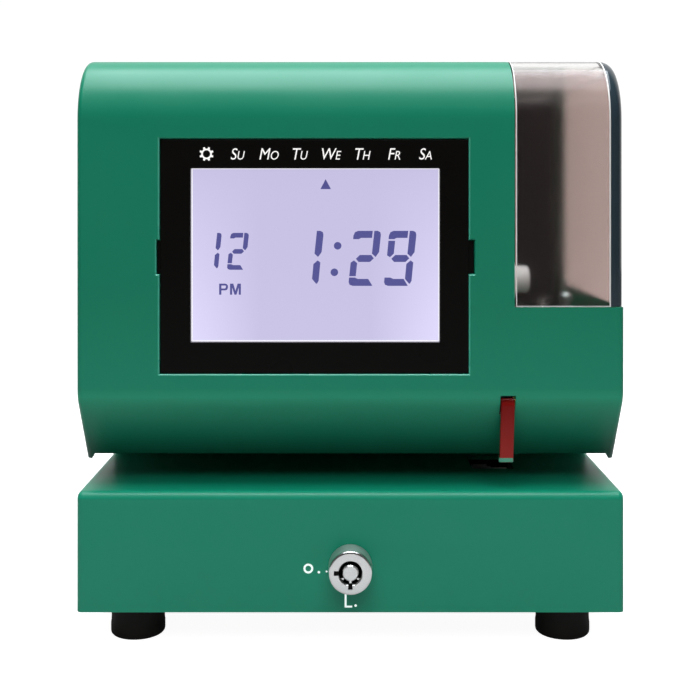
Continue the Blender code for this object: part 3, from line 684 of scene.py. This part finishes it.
def make_window():
    """Smoke acrylic window: front, top and right walls, its thick corner painted dark as a painted
    reflection.
    """
    outline = rounded(
        [
            (FRONT, WINDOW_LOW.z, 0),
            (FRONT, TOP, BROW),
            (WINDOW_HIGH.y, TOP, 0),
            (WINDOW_HIGH.y, WINDOW_LOW.z, WINDOW_CORNER),
        ],
        steps=12,
    )
    corner = (WINDOW_HIGH.y - WINDOW_CORNER, WINDOW_LOW.z + WINDOW_CORNER)

    def open_face(face):
        middle = face.calc_center_median() / MM
        left = on_plane(face, 0, WINDOW_LOW.x)
        round_corner = middle.y > corner[0] and middle.z < corner[1] and abs(face.normal.x) < 0.5
        return left or round_corner or on_plane(face, 1, WINDOW_HIGH.y) or on_plane(face, 2, WINDOW_LOW.z)

    across = (WINDOW_LOW.x, WINDOW_HIGH.x)
    shell = open_shell(outline, across, CORNER_BEND, open_face, WINDOW_WALL, "window_shell")
    smooth(shell.data)
    even_shading(shell)
    piece(shell, "case", "smoke_plastic", "corner_window")

    def in_corner(middle, normal):
        beside = middle.x > WINDOW_HIGH.x - CORNER_BEND + 0.01 and middle.y < FRONT + BROW
        return beside and abs(normal.x) < 0.98

    # The thick corner gets its painted dark reflection
    coat(shell, PAINTED_DARK_EDGE, in_corner)
    make_window_edges(outline)


def make_window_edges(outline):
    """Pale strips on the window that stand for its polished edges and the painted highlights along them:
    its left and bottom rims and the line beside its thick corner.
    """
    proud, line = 0.04, 0.38
    path = [(y, z) for y, z in outline if z > WINDOW_LOW.z - 0.01 and y < WINDOW_HIGH.y - 12]
    path.append((WINDOW_HIGH.y, TOP))
    left = (WINDOW_LOW.x, WINDOW_LOW.x + line)
    right = (HALF - CORNER_BEND - 0.75, HALF - CORNER_BEND - 0.15)
    bm = bmesh.new()
    for x in (left, right):
        ribbon(bm, path, x, proud)
    low = (WINDOW_LOW.z, WINDOW_LOW.z + line)
    prism(bm, rectangle((left[1], right[0]), low), "y", FRONT - proud, FRONT)
    add("window_polished_edges_and_glints", bm, "case", "smoke_plastic", look=POLISHED_EDGE_AND_GLINT)
    # A thin line painted dark where the top meets the right wall, a painted reflection like the dark
    # corner
    bm = bmesh.new()
    inside = WINDOW_HIGH.x - WINDOW_WALL
    block(bm, (inside - 0.5, inside - 0.05), (FRONT + BROW, WINDOW_HIGH.y - 1), (TOP - 5.6, TOP - 5.0))
    add("window_painted_dark_line", bm, "case", "smoke_plastic", look=PAINTED_DARK_EDGE)


def ribbon(bm, path, x, proud):
    """A thin raised band across X that follows a (y, z) path on the case's outside."""
    centre = (FRONT + BROW, TOP - BROW)
    outer = []
    for y, z in path:
        out = (min(0.0, y - centre[0]), max(0.0, z - centre[1]))
        length = math.hypot(*out) or 1.0
        outer.append((y + proud * out[0] / length, z + proud * out[1] / length))
    for k in range(len(path) - 1):
        prism(bm, [path[k], path[k + 1], outer[k + 1], outer[k]], "x", *x)


# The display


def make_bezel():
    """Black surround with its screen opening and two side ears."""
    outer = rectangle((BEZEL_LOW.x + EARS[0], BEZEL_HIGH.x - EARS[1]), (BEZEL_LOW.z, BEZEL_HIGH.z), 0.8)
    bezel = solid("bezel_frame", "y", BEZEL_LOW.y, BEZEL_HIGH.y, outer)
    carved(bezel, cutter(rectangle(SCREEN_X, SCREEN_Z, 0.3, 2), "y", FRONT - 5, BEZEL_HIGH.y + 5))
    smooth(bezel.data)
    soften(bezel, 0.35)
    piece(bezel, "case", "black_plastic", "display_bezel")
    across = ((BEZEL_LOW.x, BEZEL_LOW.x + EARS[0] + 1), (BEZEL_HIGH.x - EARS[1] - 1, BEZEL_HIGH.x))
    outlines = [rectangle(x, EAR_Z, 0.3, 2) for x in across]
    ears = solid("bezel_ears", "y", BEZEL_LOW.y + 0.6, BEZEL_HIGH.y - 0.2, *outlines)
    piece(soften(ears, 0.2), "case", "black_plastic")


def make_screen():
    """Lit liquid-crystal glass and the bright line round its edge."""
    outline = rectangle(*spans(LCD_LOW, LCD_HIGH), 0.4, 2)
    glass = solid("lcd_glass", "y", LCD_LOW.y, LCD_HIGH.y, outline)
    piece(soften(glass, 0.15), "case", "display_glass", "lcd_panel")
    width = 0.55
    upright = ((SCREEN_X[0], SCREEN_X[0] + width), (SCREEN_X[1] - width * 0.7, SCREEN_X[1]))
    level = ((SCREEN_Z[0], SCREEN_Z[0] + width), (SCREEN_Z[1] - width * 0.5, SCREEN_Z[1]))
    outlines = [rectangle(x, SCREEN_Z) for x in upright]
    outlines += [rectangle((SCREEN_X[0] + width, SCREEN_X[1] - width), z) for z in level]
    rim = solid("screen_rim", "y", LCD_LOW.y - 0.16, LCD_LOW.y - 0.04, *outlines)
    piece(rim, "case", "display_glass", look=RIM_LIGHT)


# The lit segments in a cell 12.5 wide and 24.4 high
CELL = 24.4
NARROWER = 0.97
SLANT = 0.105
SEGMENTS = {
    "a": [(0, 20.7), (0, 22.3), (0.55, 23.8), (1.9, 24.4), (8.6, 24.4)]
    + [(8.6, 21.25), (3.6, 21.25), (2.6, 20.7)],
    "b": [(9.3, 24.4), (10.9, 24.4), (12.1, 23.8), (12.5, 22.6), (12.5, 15.0), (11.1, 12.8), (9.3, 14.3)],
    "c": [(11.1, 11.3), (12.4, 10.4), (12.5, 2.3), (11.9, 1.0), (11.4, 1.0), (9.4, 3.1), (9.3, 9.7)],
    "d": [(0, 3.7), (2.6, 3.7), (4.0, 3.1), (8.8, 3.1), (11.0, 0.1)]
    + [(10.9, 0), (2.0, 0), (0.55, 0.5), (0, 1.7)],
    "e": [(0, 10.3), (1.4, 11.3), (3.0, 10.1), (3.0, 4.3), (0, 4.3)],
    "f": [(0, 20.0), (3.1, 20.0), (3.1, 14.3), (1.5, 12.7), (0.1, 13.5)],
    "g": [(2.2, 12.0), (3.8, 13.7), (9.0, 13.7), (10.4, 12.2), (8.8, 10.6), (3.6, 10.6)],
}
NUMERALS = {"1": "bc", "2": "abged", "9": "abcdfg"}
# Bold letters for the half of the day, from strokes 4.9 high
HALF_DAY = [
    [(0, 0), (0, 4.9), (1.0, 4.9), (1.0, 0)],
    [(1.0, 4.9), (2.7, 4.9), (3.5, 4.6), (3.05, 3.85), (2.6, 4.05), (1.0, 4.05)],
    [(3.5, 4.6), (3.9, 4.0), (3.9, 3.0), (2.95, 3.2), (2.95, 3.7), (3.05, 3.85)],
    [(3.9, 3.0), (3.5, 2.2), (2.7, 1.9), (1.0, 1.9), (1.0, 2.75), (2.6, 2.75), (2.95, 3.2)],
    [(4.8, 0), (4.8, 4.9), (5.75, 4.9), (5.75, 0)],
    [(8.65, 0), (8.65, 4.9), (9.6, 4.9), (9.6, 0)],
    [(5.75, 4.9), (6.25, 4.9), (7.2, 1.7), (7.2, 0), (6.75, 0), (5.75, 3.2)],
    [(8.15, 4.9), (8.65, 4.9), (8.65, 3.2), (7.65, 0), (7.2, 0), (7.2, 1.7)],
]


def numeral(digit, x, z, height):
    """Outlines of a slanted seven-segment numeral, with its cell's lower left corner at (x, z)."""
    scale = height / CELL
    outlines = []
    for segment in NUMERALS[digit]:
        points = SEGMENTS[segment]
        outlines.append([(x + scale * (u * NARROWER + v * SLANT), z + scale * v) for u, v in points])
    return outlines


def curve_mesh(curve):
    """The mesh of a curve or of set text."""
    source = bpy.data.objects.new(curve.name, curve)
    bpy.context.scene.collection.objects.link(source)
    graph = bpy.context.evaluated_depsgraph_get()
    mesh = bpy.data.meshes.new_from_object(source.evaluated_get(graph))
    bpy.data.objects.remove(source)
    return mesh


def lettering(text, size, middle, y):
    """A slanted, narrow word in small capitals set flat on the front, centred, as a mesh."""
    curve = bpy.data.curves.new(text, "FONT")
    curve.body = text
    curve.shear = 0.22
    curve.align_x = "CENTER"
    curve.extrude = 0.03
    curve.resolution_u = 4
    curve.small_caps_scale = 0.76
    for letter in curve.body_format[1:]:
        letter.use_small_caps = True
    mesh = curve_mesh(curve)
    heights = [vert.co.y for vert in mesh.vertices]
    sides = [vert.co.x for vert in mesh.vertices]
    scale = size / (max(heights) - min(heights))
    centre = ((max(sides) + min(sides)) / 2, (max(heights) + min(heights)) / 2)
    for vert in mesh.vertices:
        u = middle[0] + (vert.co.x - centre[0]) * scale * CONDENSED
        v = middle[1] + (vert.co.y - centre[1]) * scale
        vert.co = placed("y", u, v, y - vert.co.z)
    return mesh


def joined(name, meshes):
    """One object from several meshes."""
    bm = bmesh.new()
    for mesh in meshes:
        bm.from_mesh(mesh)
        bpy.data.meshes.remove(mesh)
    bmesh.ops.recalc_face_normals(bm, faces=bm.faces)
    return made(name, bm)


def make_figures():
    """The time, the date, the half of the day and the day marker."""
    time = []
    for digit, x in (("1", -26.3), ("2", -0.95), ("9", 14.7)):
        time += numeral(digit, x, 159.1, 24.3)
    time += [circle(1.68, centre) for centre in ((-5.6, 176.8), (-7.05, 165.1))]
    marks = {
        "time_figures": time,
        "date_figures": numeral("1", -66.5, 166.2, 16.3) + numeral("2", -54.5, 166.2, 16.3),
        "day_marker": [[(-13.2, 201.8), (-8.55, 201.8), (-10.9, 206.2)]],
        "half_day_letters": [[(x - 57.9, z + 155.2) for x, z in outline] for outline in HALF_DAY],
    }
    for name, outlines in marks.items():
        mark = solid(name, "y", LCD_LOW.y - 0.03 - MARK, LCD_LOW.y - 0.03, *outlines)
        piece(mark, "case", "display_glass", look=LCD_INK)


def make_labels():
    """Day names and a settings wheel printed on the bezel."""
    y = BEZEL_LOW.y - 0.03
    words = []
    for k, day in enumerate(("Su", "Mo", "Tu", "We", "Th", "Fr", "Sa")):
        words.append(lettering(day, 5.0, (-49.3 + 13.7 * k, LABEL_Z), y))
    piece(joined("day_names", words), "case", "black_plastic", look=WHITE_INK_PAINTED_GLOW)
    centre = (-63.0, LABEL_Z)
    outline = []
    for tooth in range(8):
        for radius, share in ((2.35, -0.6), (3.15, -0.3), (3.15, 0.3), (2.35, 0.6)):
            angle = math.tau * (tooth + 0.5 + share / 2) / 8
            outline.append((centre[0] + radius * math.cos(angle), centre[1] + radius * math.sin(angle)))
    wheel = solid("settings_wheel", "y", y - MARK, y, outline)
    carved(wheel, cutter(circle(1.6, centre), "y", y - 1, y + 1))
    piece(wheel, "case", "black_plastic", look=WHITE_INK_PAINTED_GLOW)


# Lock, pointer and feet


def make_lock():
    """Round key lock with two key positions, its centre post and drive pins, and dark steel as painted
    shade in its well and notches.
    """
    centre = (0.0, LOCK_Z)
    radius = BARREL_HIGH.x
    face = BARREL_LOW.y
    ring = 5.15
    bm = bmesh.new()
    profile = [(ring, BARREL_HIGH.y), (radius - 0.5, BARREL_HIGH.y), (radius - 0.5, FRONT + 0.8)]
    profile += [(radius, FRONT + 0.4), (radius, face + 0.9), (radius - 0.25, face + 0.35)]
    profile += [(radius - 0.7, face + 0.05), (radius - 1.2, face)]
    profile += [(ring + 0.25, face), (ring, face + 0.25)]
    lathe(bm, profile, "y", centre, closed=True)
    barrel = made("lock_barrel_face", bm)
    notches = []
    for u, v in ((-1, 0), (0, -1)):
        x = (u * 6.0 - 1.0 - abs(u) * 0.1, u * 6.0 + 1.0 + abs(u) * 0.1)
        z = (LOCK_Z + v * 6.0 - 1.0, LOCK_Z + v * 6.0 + 1.0)
        notches.append(cutter(rectangle(x, z, 0.2, 2), "y", face - 1, face + 6))
    carved(barrel, *notches)
    smooth(barrel.data)
    piece(barrel, "case", "nickel", "lock_barrel")
    coat(barrel, BRUSHED_NICKEL, lambda middle, normal: abs(normal.y) < 0.3)
    soften(barrel, 0.12)
    bm = bmesh.new()
    post = [(0, face + 0.1), (3.1, face + 0.1), (3.55, face + 0.6), (3.55, face + 6), (5.0, face + 6)]
    post += [(5.0, PLUG_HIGH.y), (0, PLUG_HIGH.y)]
    lathe(bm, post, "y", centre, 48)
    for degrees in (-142, -38):
        angle = math.radians(degrees)
        middle = (centre[0] + 4.3 * math.cos(angle), centre[1] + 4.3 * math.sin(angle))
        lathe(bm, [(0, face + 1.0), (0.6, face + 1.2), (0.6, face + 6)], "y", middle, 16)
    block(bm, (-0.5, 0.5), (face + 0.4, face + 6), (LOCK_Z - 4.3, LOCK_Z - 3.0))
    add("lock_post", bm, "lock_core", "nickel", "lock_plug")
    # Dark steel lining the deep well: painted shade
    bm = bmesh.new()
    well = [(3.65, face + 2.2), (3.65, face + 5.9), (5.0, face + 5.9), (5.0, face + 2.2)]
    well += [(5.1, face + 2.2), (5.1, face + 6.4), (3.5, face + 6.4), (3.5, face + 2.2)]
    lathe(bm, well, "y", centre, 48, closed=True)
    add("lock_well_painted_shade", bm, "lock_core", "dark_steel")
    # Dark steel filling the key notches: painted shade
    bm = bmesh.new()
    block(bm, (-7.0, -5.2), (face + 0.35, face + 4), (LOCK_Z - 0.95, LOCK_Z + 0.95))
    block(bm, (-0.95, 0.95), (face + 0.35, face + 4), (LOCK_Z - 6.9, LOCK_Z - 5.2))
    add("lock_notches_painted_shade", bm, "case", "dark_steel")


def make_lock_marks():
    """Letters for open and locked with their dots, printed on the base."""
    bm = bmesh.new()
    y = FRONT - 0.02
    ring = [(1.25, y), (1.25, y - 0.04), (2.15, y - 0.04), (2.15, y)]
    lathe(bm, ring, "y", (-18.4, 35.7), 40, closed=True)
    for centre, radius in (((-13.8, 34.1), 0.55), ((-10.4, 34.4), 0.4), ((2.3, 19.5), 0.55)):
        prism(bm, circle(radius, centre), "y", y - 0.04, y)
    letter = [(-2.5, 24.6), (-2.5, 18.65), (0.8, 18.65), (0.8, 19.45), (-1.65, 19.45), (-1.65, 24.6)]
    prism(bm, letter, "y", y - 0.04, y)
    add("lock_marks", bm, "case", "green_paint", look=LOCK_INK_PAINTED_GLOW)


def make_pointer():
    """Red pointer that hangs over the throat."""
    path = rounded([(-84, 107.6, 0), (FRONT, 111.4, 3.2), (-89.3, POINTER_LOW.z, 0)], steps=8)
    bm = bmesh.new()
    across = (POINTER_LOW.x, POINTER_HIGH.x)
    left, right = [[bm.verts.new(placed("x", y, z, x)) for y, z in path] for x in across]
    for k in range(len(path) - 1):
        bm.faces.new((left[k], left[k + 1], right[k + 1], right[k]))
    pointer = soften(thickened(made("pointer_blade", bm), 3.0), 0.5, 3)
    piece(pointer, "case", "red_plastic", "print_pointer")
    # The lower end face, painted pale green as a painted highlight
    outline = [(-89.75, 82.8), (-89.55, 81.0), (-88.2, 81.0), (-88.5, 82.8)]
    tip = solid("pointer_end_painted_glint", "x", POINTER_LOW.x - 0.35, POINTER_HIGH.x - 0.2, outline)
    piece(tip, "case", "red_plastic", look=POINTER_TIP_PAINTED_GLINT)


def make_feet():
    """Rubber feet with a groove and a blind hole in the sole."""
    for name in ("foot_front_left", "foot_front_right", "foot_rear_left", "foot_rear_right"):
        low, high = span(name)
        centre = ((low + high) / 2).xy
        radius = (high.x - low.x) / 2
        profile = [(0, high.z), (radius - 0.35, high.z), (radius - 0.3, 9.0), (radius - 0.2, 6.0)]
        profile += [(radius, 4.8), (radius, 1.3), (radius - 0.15, 0.6), (radius - 0.7, 0.0)]
        profile += [(radius - 3.2, 0.0), (radius - 3.6, 0.6), (radius - 4.2, 0.6), (radius - 4.6, 0.0)]
        profile += [(4.5, 0.0), (4.2, 0.4), (4.2, 5.0), (0, 5.0)]
        bm = bmesh.new()
        lathe(bm, profile, "z", centre)
        add(f"rubber_{name}", bm, "chassis", "rubber", name)


# Fasteners and the inside


def screws(name, axis, centres, seat, radius, rise=0.62):
    """Pan-head screws with cross recesses, their heads standing out of a seat along an axis."""
    height = radius * rise
    sunk = seat - 0.4
    dome = [(0, sunk), (radius * 0.98, sunk), (radius, seat), (radius, seat + height * 0.45)]
    dome += [(radius * 0.8, seat + height * 0.85), (radius * 0.45, seat + height)]
    dome += [(radius * 0.42, seat + height * 0.75), (0, seat + height * 0.6)]
    bar = radius * 0.5
    bm = bmesh.new()
    for centre in centres:
        lathe(bm, dome, axis, centre, 24)
        for u, v in ((bar, radius * 0.11), (radius * 0.11, bar)):
            outline = rectangle((centre[0] - u, centre[0] + u), (centre[1] - v, centre[1] + v))
            prism(bm, outline, axis, seat + height * 0.55, seat + height * 0.78)
    add(name, bm, "chassis", "steel")


PANEL_SINK = 1.1
PANEL_RIM = 3.0
INLET_GAP = 0.3
VENTS = 6
VENT_LOW = 190.0
VENT_PITCH = 9.0
VENT_HEIGHT = 4.0
VENT_REACH = 45.0


def make_rear_panel():
    """Pressed rear panel: its middle sunk inside a flat rim, with round-ended vents."""
    outline = rectangle(*spans(PANEL_LOW, PANEL_HIGH), 1.5)
    panel = solid("rear_cover", "y", PANEL_LOW.y, PANEL_HIGH.y, outline)
    middle = rectangle(*spans(PANEL_LOW, PANEL_HIGH, -PANEL_RIM), 4.0, 6)
    hole = rectangle(*spans(*span("power_inlet"), INLET_GAP), 1.8)
    through = (PANEL_LOW.y - 2, PANEL_HIGH.y + 2)
    sunk = cutter(middle, "y", PANEL_HIGH.y - PANEL_SINK, PANEL_HIGH.y + 2)
    cutters = [sunk, cutter(hole, "y", *through)]
    for row in range(VENTS):
        low = VENT_LOW + VENT_PITCH * row
        vent = rectangle((-VENT_REACH, VENT_REACH), (low, low + VENT_HEIGHT), VENT_HEIGHT / 2 - 0.01, 6)
        cutters.append(cutter(vent, "y", *through))
    carved(panel, *cutters)
    smooth(panel.data)
    soften(panel, 0.15)
    piece(panel, "chassis", "dark_steel", "rear_panel")


def make_fasteners():
    """Screws that hold the rear panel, the frame and the motor."""
    up = (PANEL_LOW.z + 8, PANEL_HIGH.z - 8)
    centres = [(x, z) for x in (PANEL_LOW.x + 8, 0, PANEL_HIGH.x - 8) for z in up]
    screws("rear_panel_screws", "y", centres, PANEL_HIGH.y - PANEL_SINK, 2.6, rise=0.4)
    centres = ((46, 25), (-50, 25), (46, 92), (-60, 92), (24, 126), (42, 32))
    screws("frame_screws", "x", centres, span("frame_plate_right")[1].x, 2.4)
    low, high = span("motor")
    centre = ((low + high) / 2).yz
    angles = [math.tau * (k / 3 + 0.08) for k in range(3)]
    centres = [(centre[0] + 15 * math.cos(angle), centre[1] + 15 * math.sin(angle)) for angle in angles]
    screws("motor_screws", "x", centres, high.x, 1.8)


# Chips on the control board: left, front, width and depth
CHIPS = ((-70, -20, 18, 9), (-40, -20, 12, 8), (-70, 0, 12, 7), (-20, -42, 24, 8), (4, -15, 10, 10))
# Capacitors: place, radius and height
CANS = ((-98, -8, 6.3, 16), (-98, 6, 5.0, 12), (12, 4, 4.0, 11), (22, -30, 4.0, 9), (-14, 8, 3.2, 8))
LEG_PITCH = 1.27
LEG_LENGTH = 1.1


def make_board_parts():
    """Chips, two relays, a round metal can, capacitors and connectors on the control board."""
    top = BOARD_HIGH.z
    dark = bmesh.new()
    for x, y, width, depth in CHIPS:
        prism(dark, rectangle((x, x + width), (y, y + depth), 0.5, 2), "z", top + 0.4, top + 2.6)
    for x in (-96, -84):
        prism(dark, rectangle((x, x + 10), (-50, -38), 0.6, 2), "z", top, top + 9.5)
    add("board_chips", dark, "chassis", "black_plastic", edge=0.25)
    legs = bmesh.new()
    for x, y, width, depth in CHIPS:
        for k in range(int(width / LEG_PITCH)):
            for edge in (y - LEG_LENGTH, y + depth):
                left = x + 0.7 + LEG_PITCH * k
                block(legs, (left, left + 0.5), (edge, edge + LEG_LENGTH), (top + 0.02, top + 0.9))
    lathe(legs, [(0, top + 3.4), (4.2, top + 3.4), (4.7, top + 2.9), (4.7, top)], "z", (-50, 6), 32)
    add("board_legs", legs, "chassis", "steel")
    cans = bmesh.new()
    for x, y, radius, height in CANS:
        crown = top + height
        profile = [(0, crown - 0.3), (radius * 0.8, crown - 0.3), (radius * 0.85, crown)]
        profile += [(radius * 0.95, crown), (radius, crown - 0.5), (radius, top + 2.2)]
        profile += [(radius * 0.93, top + 1.8), (radius, top + 1.4), (radius, top)]
        lathe(cans, profile, "z", (x, y), 32)
    add("board_capacitors", cans, "chassis", "dark_steel")
    outlines = []
    for x, y, ways in ((-46, 11, 6), (-4, -56, 8), (-60, -56, 4)):
        outlines.append(rectangle((x, x + ways * 2 * LEG_PITCH + 1), (y, y + 5.6), 0.3, 2))
    plugs = solid("board_connectors", "z", top, top + 6.5, *outlines)
    piece(soften(plugs, 0.2), "chassis", "white_plastic")


def wire(name, points, radius, look):
    """A round insulated wire through given points."""
    curve = bpy.data.curves.new(name, "CURVE")
    curve.dimensions = "3D"
    curve.bevel_depth = radius * MM
    curve.bevel_resolution = 4
    curve.use_fill_caps = True
    spline = curve.splines.new("BEZIER")
    spline.bezier_points.add(len(points) - 1)
    for control, point in zip(spline.bezier_points, points):
        control.co = Vector(point) * MM
        control.handle_left_type = control.handle_right_type = "AUTO"
    piece(joined(name, [curve_mesh(curve)]), "chassis", "black_plastic", look=look)


def make_wiring():
    """Leads from the inlet to the transformer, on to the board, and from there to the motor."""
    colours = {
        "brown": (0.10, 0.035, 0.012),
        "blue": (0.01, 0.05, 0.28),
        "yellow": (0.62, 0.45, 0.03),
        "red": (0.40, 0.012, 0.01),
    }
    looks = {key: grained(f"{key}_insulation", rgb, 0.42, depth=0.004) for key, rgb in colours.items()}
    for k, colour in enumerate(("brown", "blue")):
        route = [(-86 + 12 * k, 84, 36), (-86 + 12 * k, 78, 33)]
        route += [(-84 + 10 * k, 74, 30), (-80 + 9 * k, 71, 32)]
        wire(f"mains_lead_{colour}", route, 0.9, looks[colour])
    for k, colour in enumerate(("yellow", "red")):
        x = -44 + 4 * k
        route = [(-66 + 3 * k, 32, 44), (-60 + 3 * k, 24, 46), (x, 18, 42), (x, 13.8, 36)]
        wire(f"board_lead_{colour}", route, 0.8, looks[colour])
        motor = [(-36 + 3 * k, 14, 36), (-20 + 3 * k, 26, 44), (20, 30 + 3 * k, 60)]
        motor += [(42, 20 + 3 * k, 90), (43.4, 8, 118 + 3 * k)]
        wire(f"motor_lead_{colour}", motor, 0.8, looks[colour])


def make_inlet():
    """Flanged mains socket with its three blades."""
    low, high = span("power_inlet")
    middle = ((low + high) / 2).xz
    body = solid("inlet_body", "y", low.y, high.y, rectangle(*spans(low, high), 1.5))
    shape = ((-12, -8), (12, -8), (12, 3), (8, 8), (-8, 8), (-12, 3))
    well = rounded([(middle[0] + u, middle[1] + v, 1) for u, v in shape], steps=4)
    carved(body, cutter(well, "y", high.y - 13, high.y + 5))
    smooth(body.data)
    soften(body, 0.4)
    piece(body, "chassis", "black_plastic", "power_inlet")
    outlines = []
    for u, v in ((-7, -2), (0, 2), (7, -2)):
        x, z = middle[0] + u, middle[1] + v
        outlines.append(rectangle((x - 1, x + 1), (z - 2, z + 2), 0.3, 2))
    blades = solid("inlet_blades", "y", high.y - 13.5, high.y - 3, *outlines)
    piece(soften(blades, 0.3), "chassis", "nickel")


# The outer face of the spools' right flanges
SPOOL_END = 76.5


def make_spools():
    """Ribbon spools: plain flanges on a drum, a round knob, and the ribbon wound between them."""
    for end in ("front", "rear"):
        name = f"ribbon_spool_{end}"
        low, high = span(name)
        centre = ((low + high) / 2).yz
        flange = (high.z - low.z) / 2
        left, right = low.x, SPOOL_END
        bm = bmesh.new()
        for x in (left, right - 1.0):
            profile = [(2.3, x), (flange - 0.3, x), (flange, x + 0.3)]
            profile += [(flange, x + 0.7), (flange - 0.3, x + 1), (2.3, x + 1)]
            lathe(bm, profile, "x", centre, 56, closed=True)
        drum = [(2.3, left + 1), (6, left + 1), (6, right - 1), (2.3, right - 1)]
        lathe(bm, drum, "x", centre, 40, closed=True)
        knob = [(0, high.x), (4.9, high.x), (5.9, high.x - 0.4), (6.25, high.x - 1.3)]
        knob += [(6.25, right), (2.3, right)]
        lathe(bm, knob, "x", centre, 48)
        add(f"spool_{end}", bm, f"{end}_spool", "white_plastic", name, look=NATURAL_NYLON, edge=0.15)
        bm = bmesh.new()
        wound = [(6.05, left + 1.3), (8.4, left + 1.3), (8.4, right - 1.3), (6.05, right - 1.3)]
        lathe(bm, wound, "x", centre, 48, closed=True)
        add(f"wound_ribbon_{end}", bm, f"{end}_spool", "inked_ribbon")


# Room, light and camera

WHITE = (1, 1, 1, 1)


def seen_directly(tree):
    """One for rays that come straight from the camera or through the window, else zero."""
    ray = node(tree, "ShaderNodeLightPath")
    return reckoned(tree, "MAXIMUM", ray.outputs["Is Camera Ray"], ray.outputs["Is Transmission Ray"])


def make_room():
    """White floor that is bright enough to meet the background."""
    floor = solid("floor", "z", -6, 0, circle(2600, steps=64))
    look = grained("studio_floor", (0.38, 0.38, 0.38), 0.8, depth=0.0, tint=0.01)
    tree = look.node_tree
    strength = ranged(tree, seen_directly(tree), 0.05, 0.95)
    floor.data.materials.append(painted(look, Emission_Color=WHITE, Emission_Strength=strength))


def make_world():
    """White behind the object, dark in front of it where its faces would mirror the room."""
    world = bpy.data.worlds.new("studio")
    world.use_nodes = True
    bpy.context.scene.world = world
    tree = world.node_tree
    seen = filled(tree.nodes["Background"], Color=WHITE, Strength=1.05)
    place = node(tree, "ShaderNodeTexCoord").outputs["Generated"]
    depth = node(tree, "ShaderNodeSeparateXYZ", Vector=place).outputs["Y"]
    strength = ranged(tree, depth, 0.07, 0.8, 0.1, 0.5)
    light = node(tree, "ShaderNodeBackground", Color=WHITE, Strength=strength)
    mix = node(tree, "ShaderNodeMixShader")
    for socket, target in zip((seen_directly(tree), light.outputs[0], seen.outputs[0]), mix.inputs):
        tree.links.new(socket, target)
    filled(tree.nodes["World Output"], Surface=mix.outputs[0])


def softbox(name, place, target, size, watts, colour=(1, 1, 1), mirrored=True):
    """A rectangular area light aimed at a point, seen in glossy surfaces or not."""
    data = bpy.data.lights.new(name, "AREA")
    data.shape = "RECTANGLE"
    data.size, data.size_y = size[0] * MM, size[1] * MM
    data.energy = watts
    data.color = colour
    lamp = bpy.data.objects.new(name, data)
    lamp.location = Vector(place) * MM
    aim = Vector(target) * MM - lamp.location
    lamp.rotation_euler = aim.to_track_quat("-Z", "Y").to_euler()
    lamp.visible_glossy = mirrored
    bpy.context.scene.collection.objects.link(lamp)


def make_lights():
    softbox("top_softbox", (0, -110, 950), (0, -100, 100), (800, 700), 11.5, (0.93, 1.0, 1.07))
    softbox("front_fill", (0, -950, 1500), (0, 0, 130), (1600, 1600), 22, mirrored=False)


# The camera stands in front and looks straight back, with its frame shifted down
LENS = 58.74
SENSOR = 36.0
SHIFT = (0.0034, -0.224)
STAND = (-1.2, -595.0, 200.0)


def make_camera():
    data = bpy.data.cameras.new("camera")
    data.lens = LENS
    data.sensor_width = SENSOR
    data.shift_x, data.shift_y = SHIFT
    data.clip_start = 0.01
    camera = bpy.data.objects.new("camera", data)
    camera.location = Vector(STAND) * MM
    camera.rotation_euler = (math.pi / 2, 0, 0)
    bpy.context.scene.collection.objects.link(camera)
    bpy.context.scene.camera = camera


def dress_parts():
    """Gives every part that stays visible the finish of its slot."""
    for part in frame["record"]["subparts"]:
        mesh = frame["nodes"][part["node"]].data
        look = LOOKS[part["material_slot"]]
        if not mesh.materials:
            mesh.materials.append(look)
        for k in range(len(mesh.materials)):
            mesh.materials[k] = look
    frame["nodes"]["guide_post"].data.materials[0] = POST_LOOK


def main():
    make_camera()
    make_room()
    make_world()
    make_lights()
    bpy.context.scene.view_settings.view_transform = "Standard"
    dress_parts()
    make_case()
    make_window()
    make_bezel()
    make_screen()
    make_figures()
    make_labels()
    make_lock()
    make_lock_marks()
    make_pointer()
    make_feet()
    make_rear_panel()
    make_fasteners()
    make_board_parts()
    make_wiring()
    make_inlet()
    make_spools()


def corners(bounds):
    return [[float(value) for value in corner] for corner in bounds]


main()
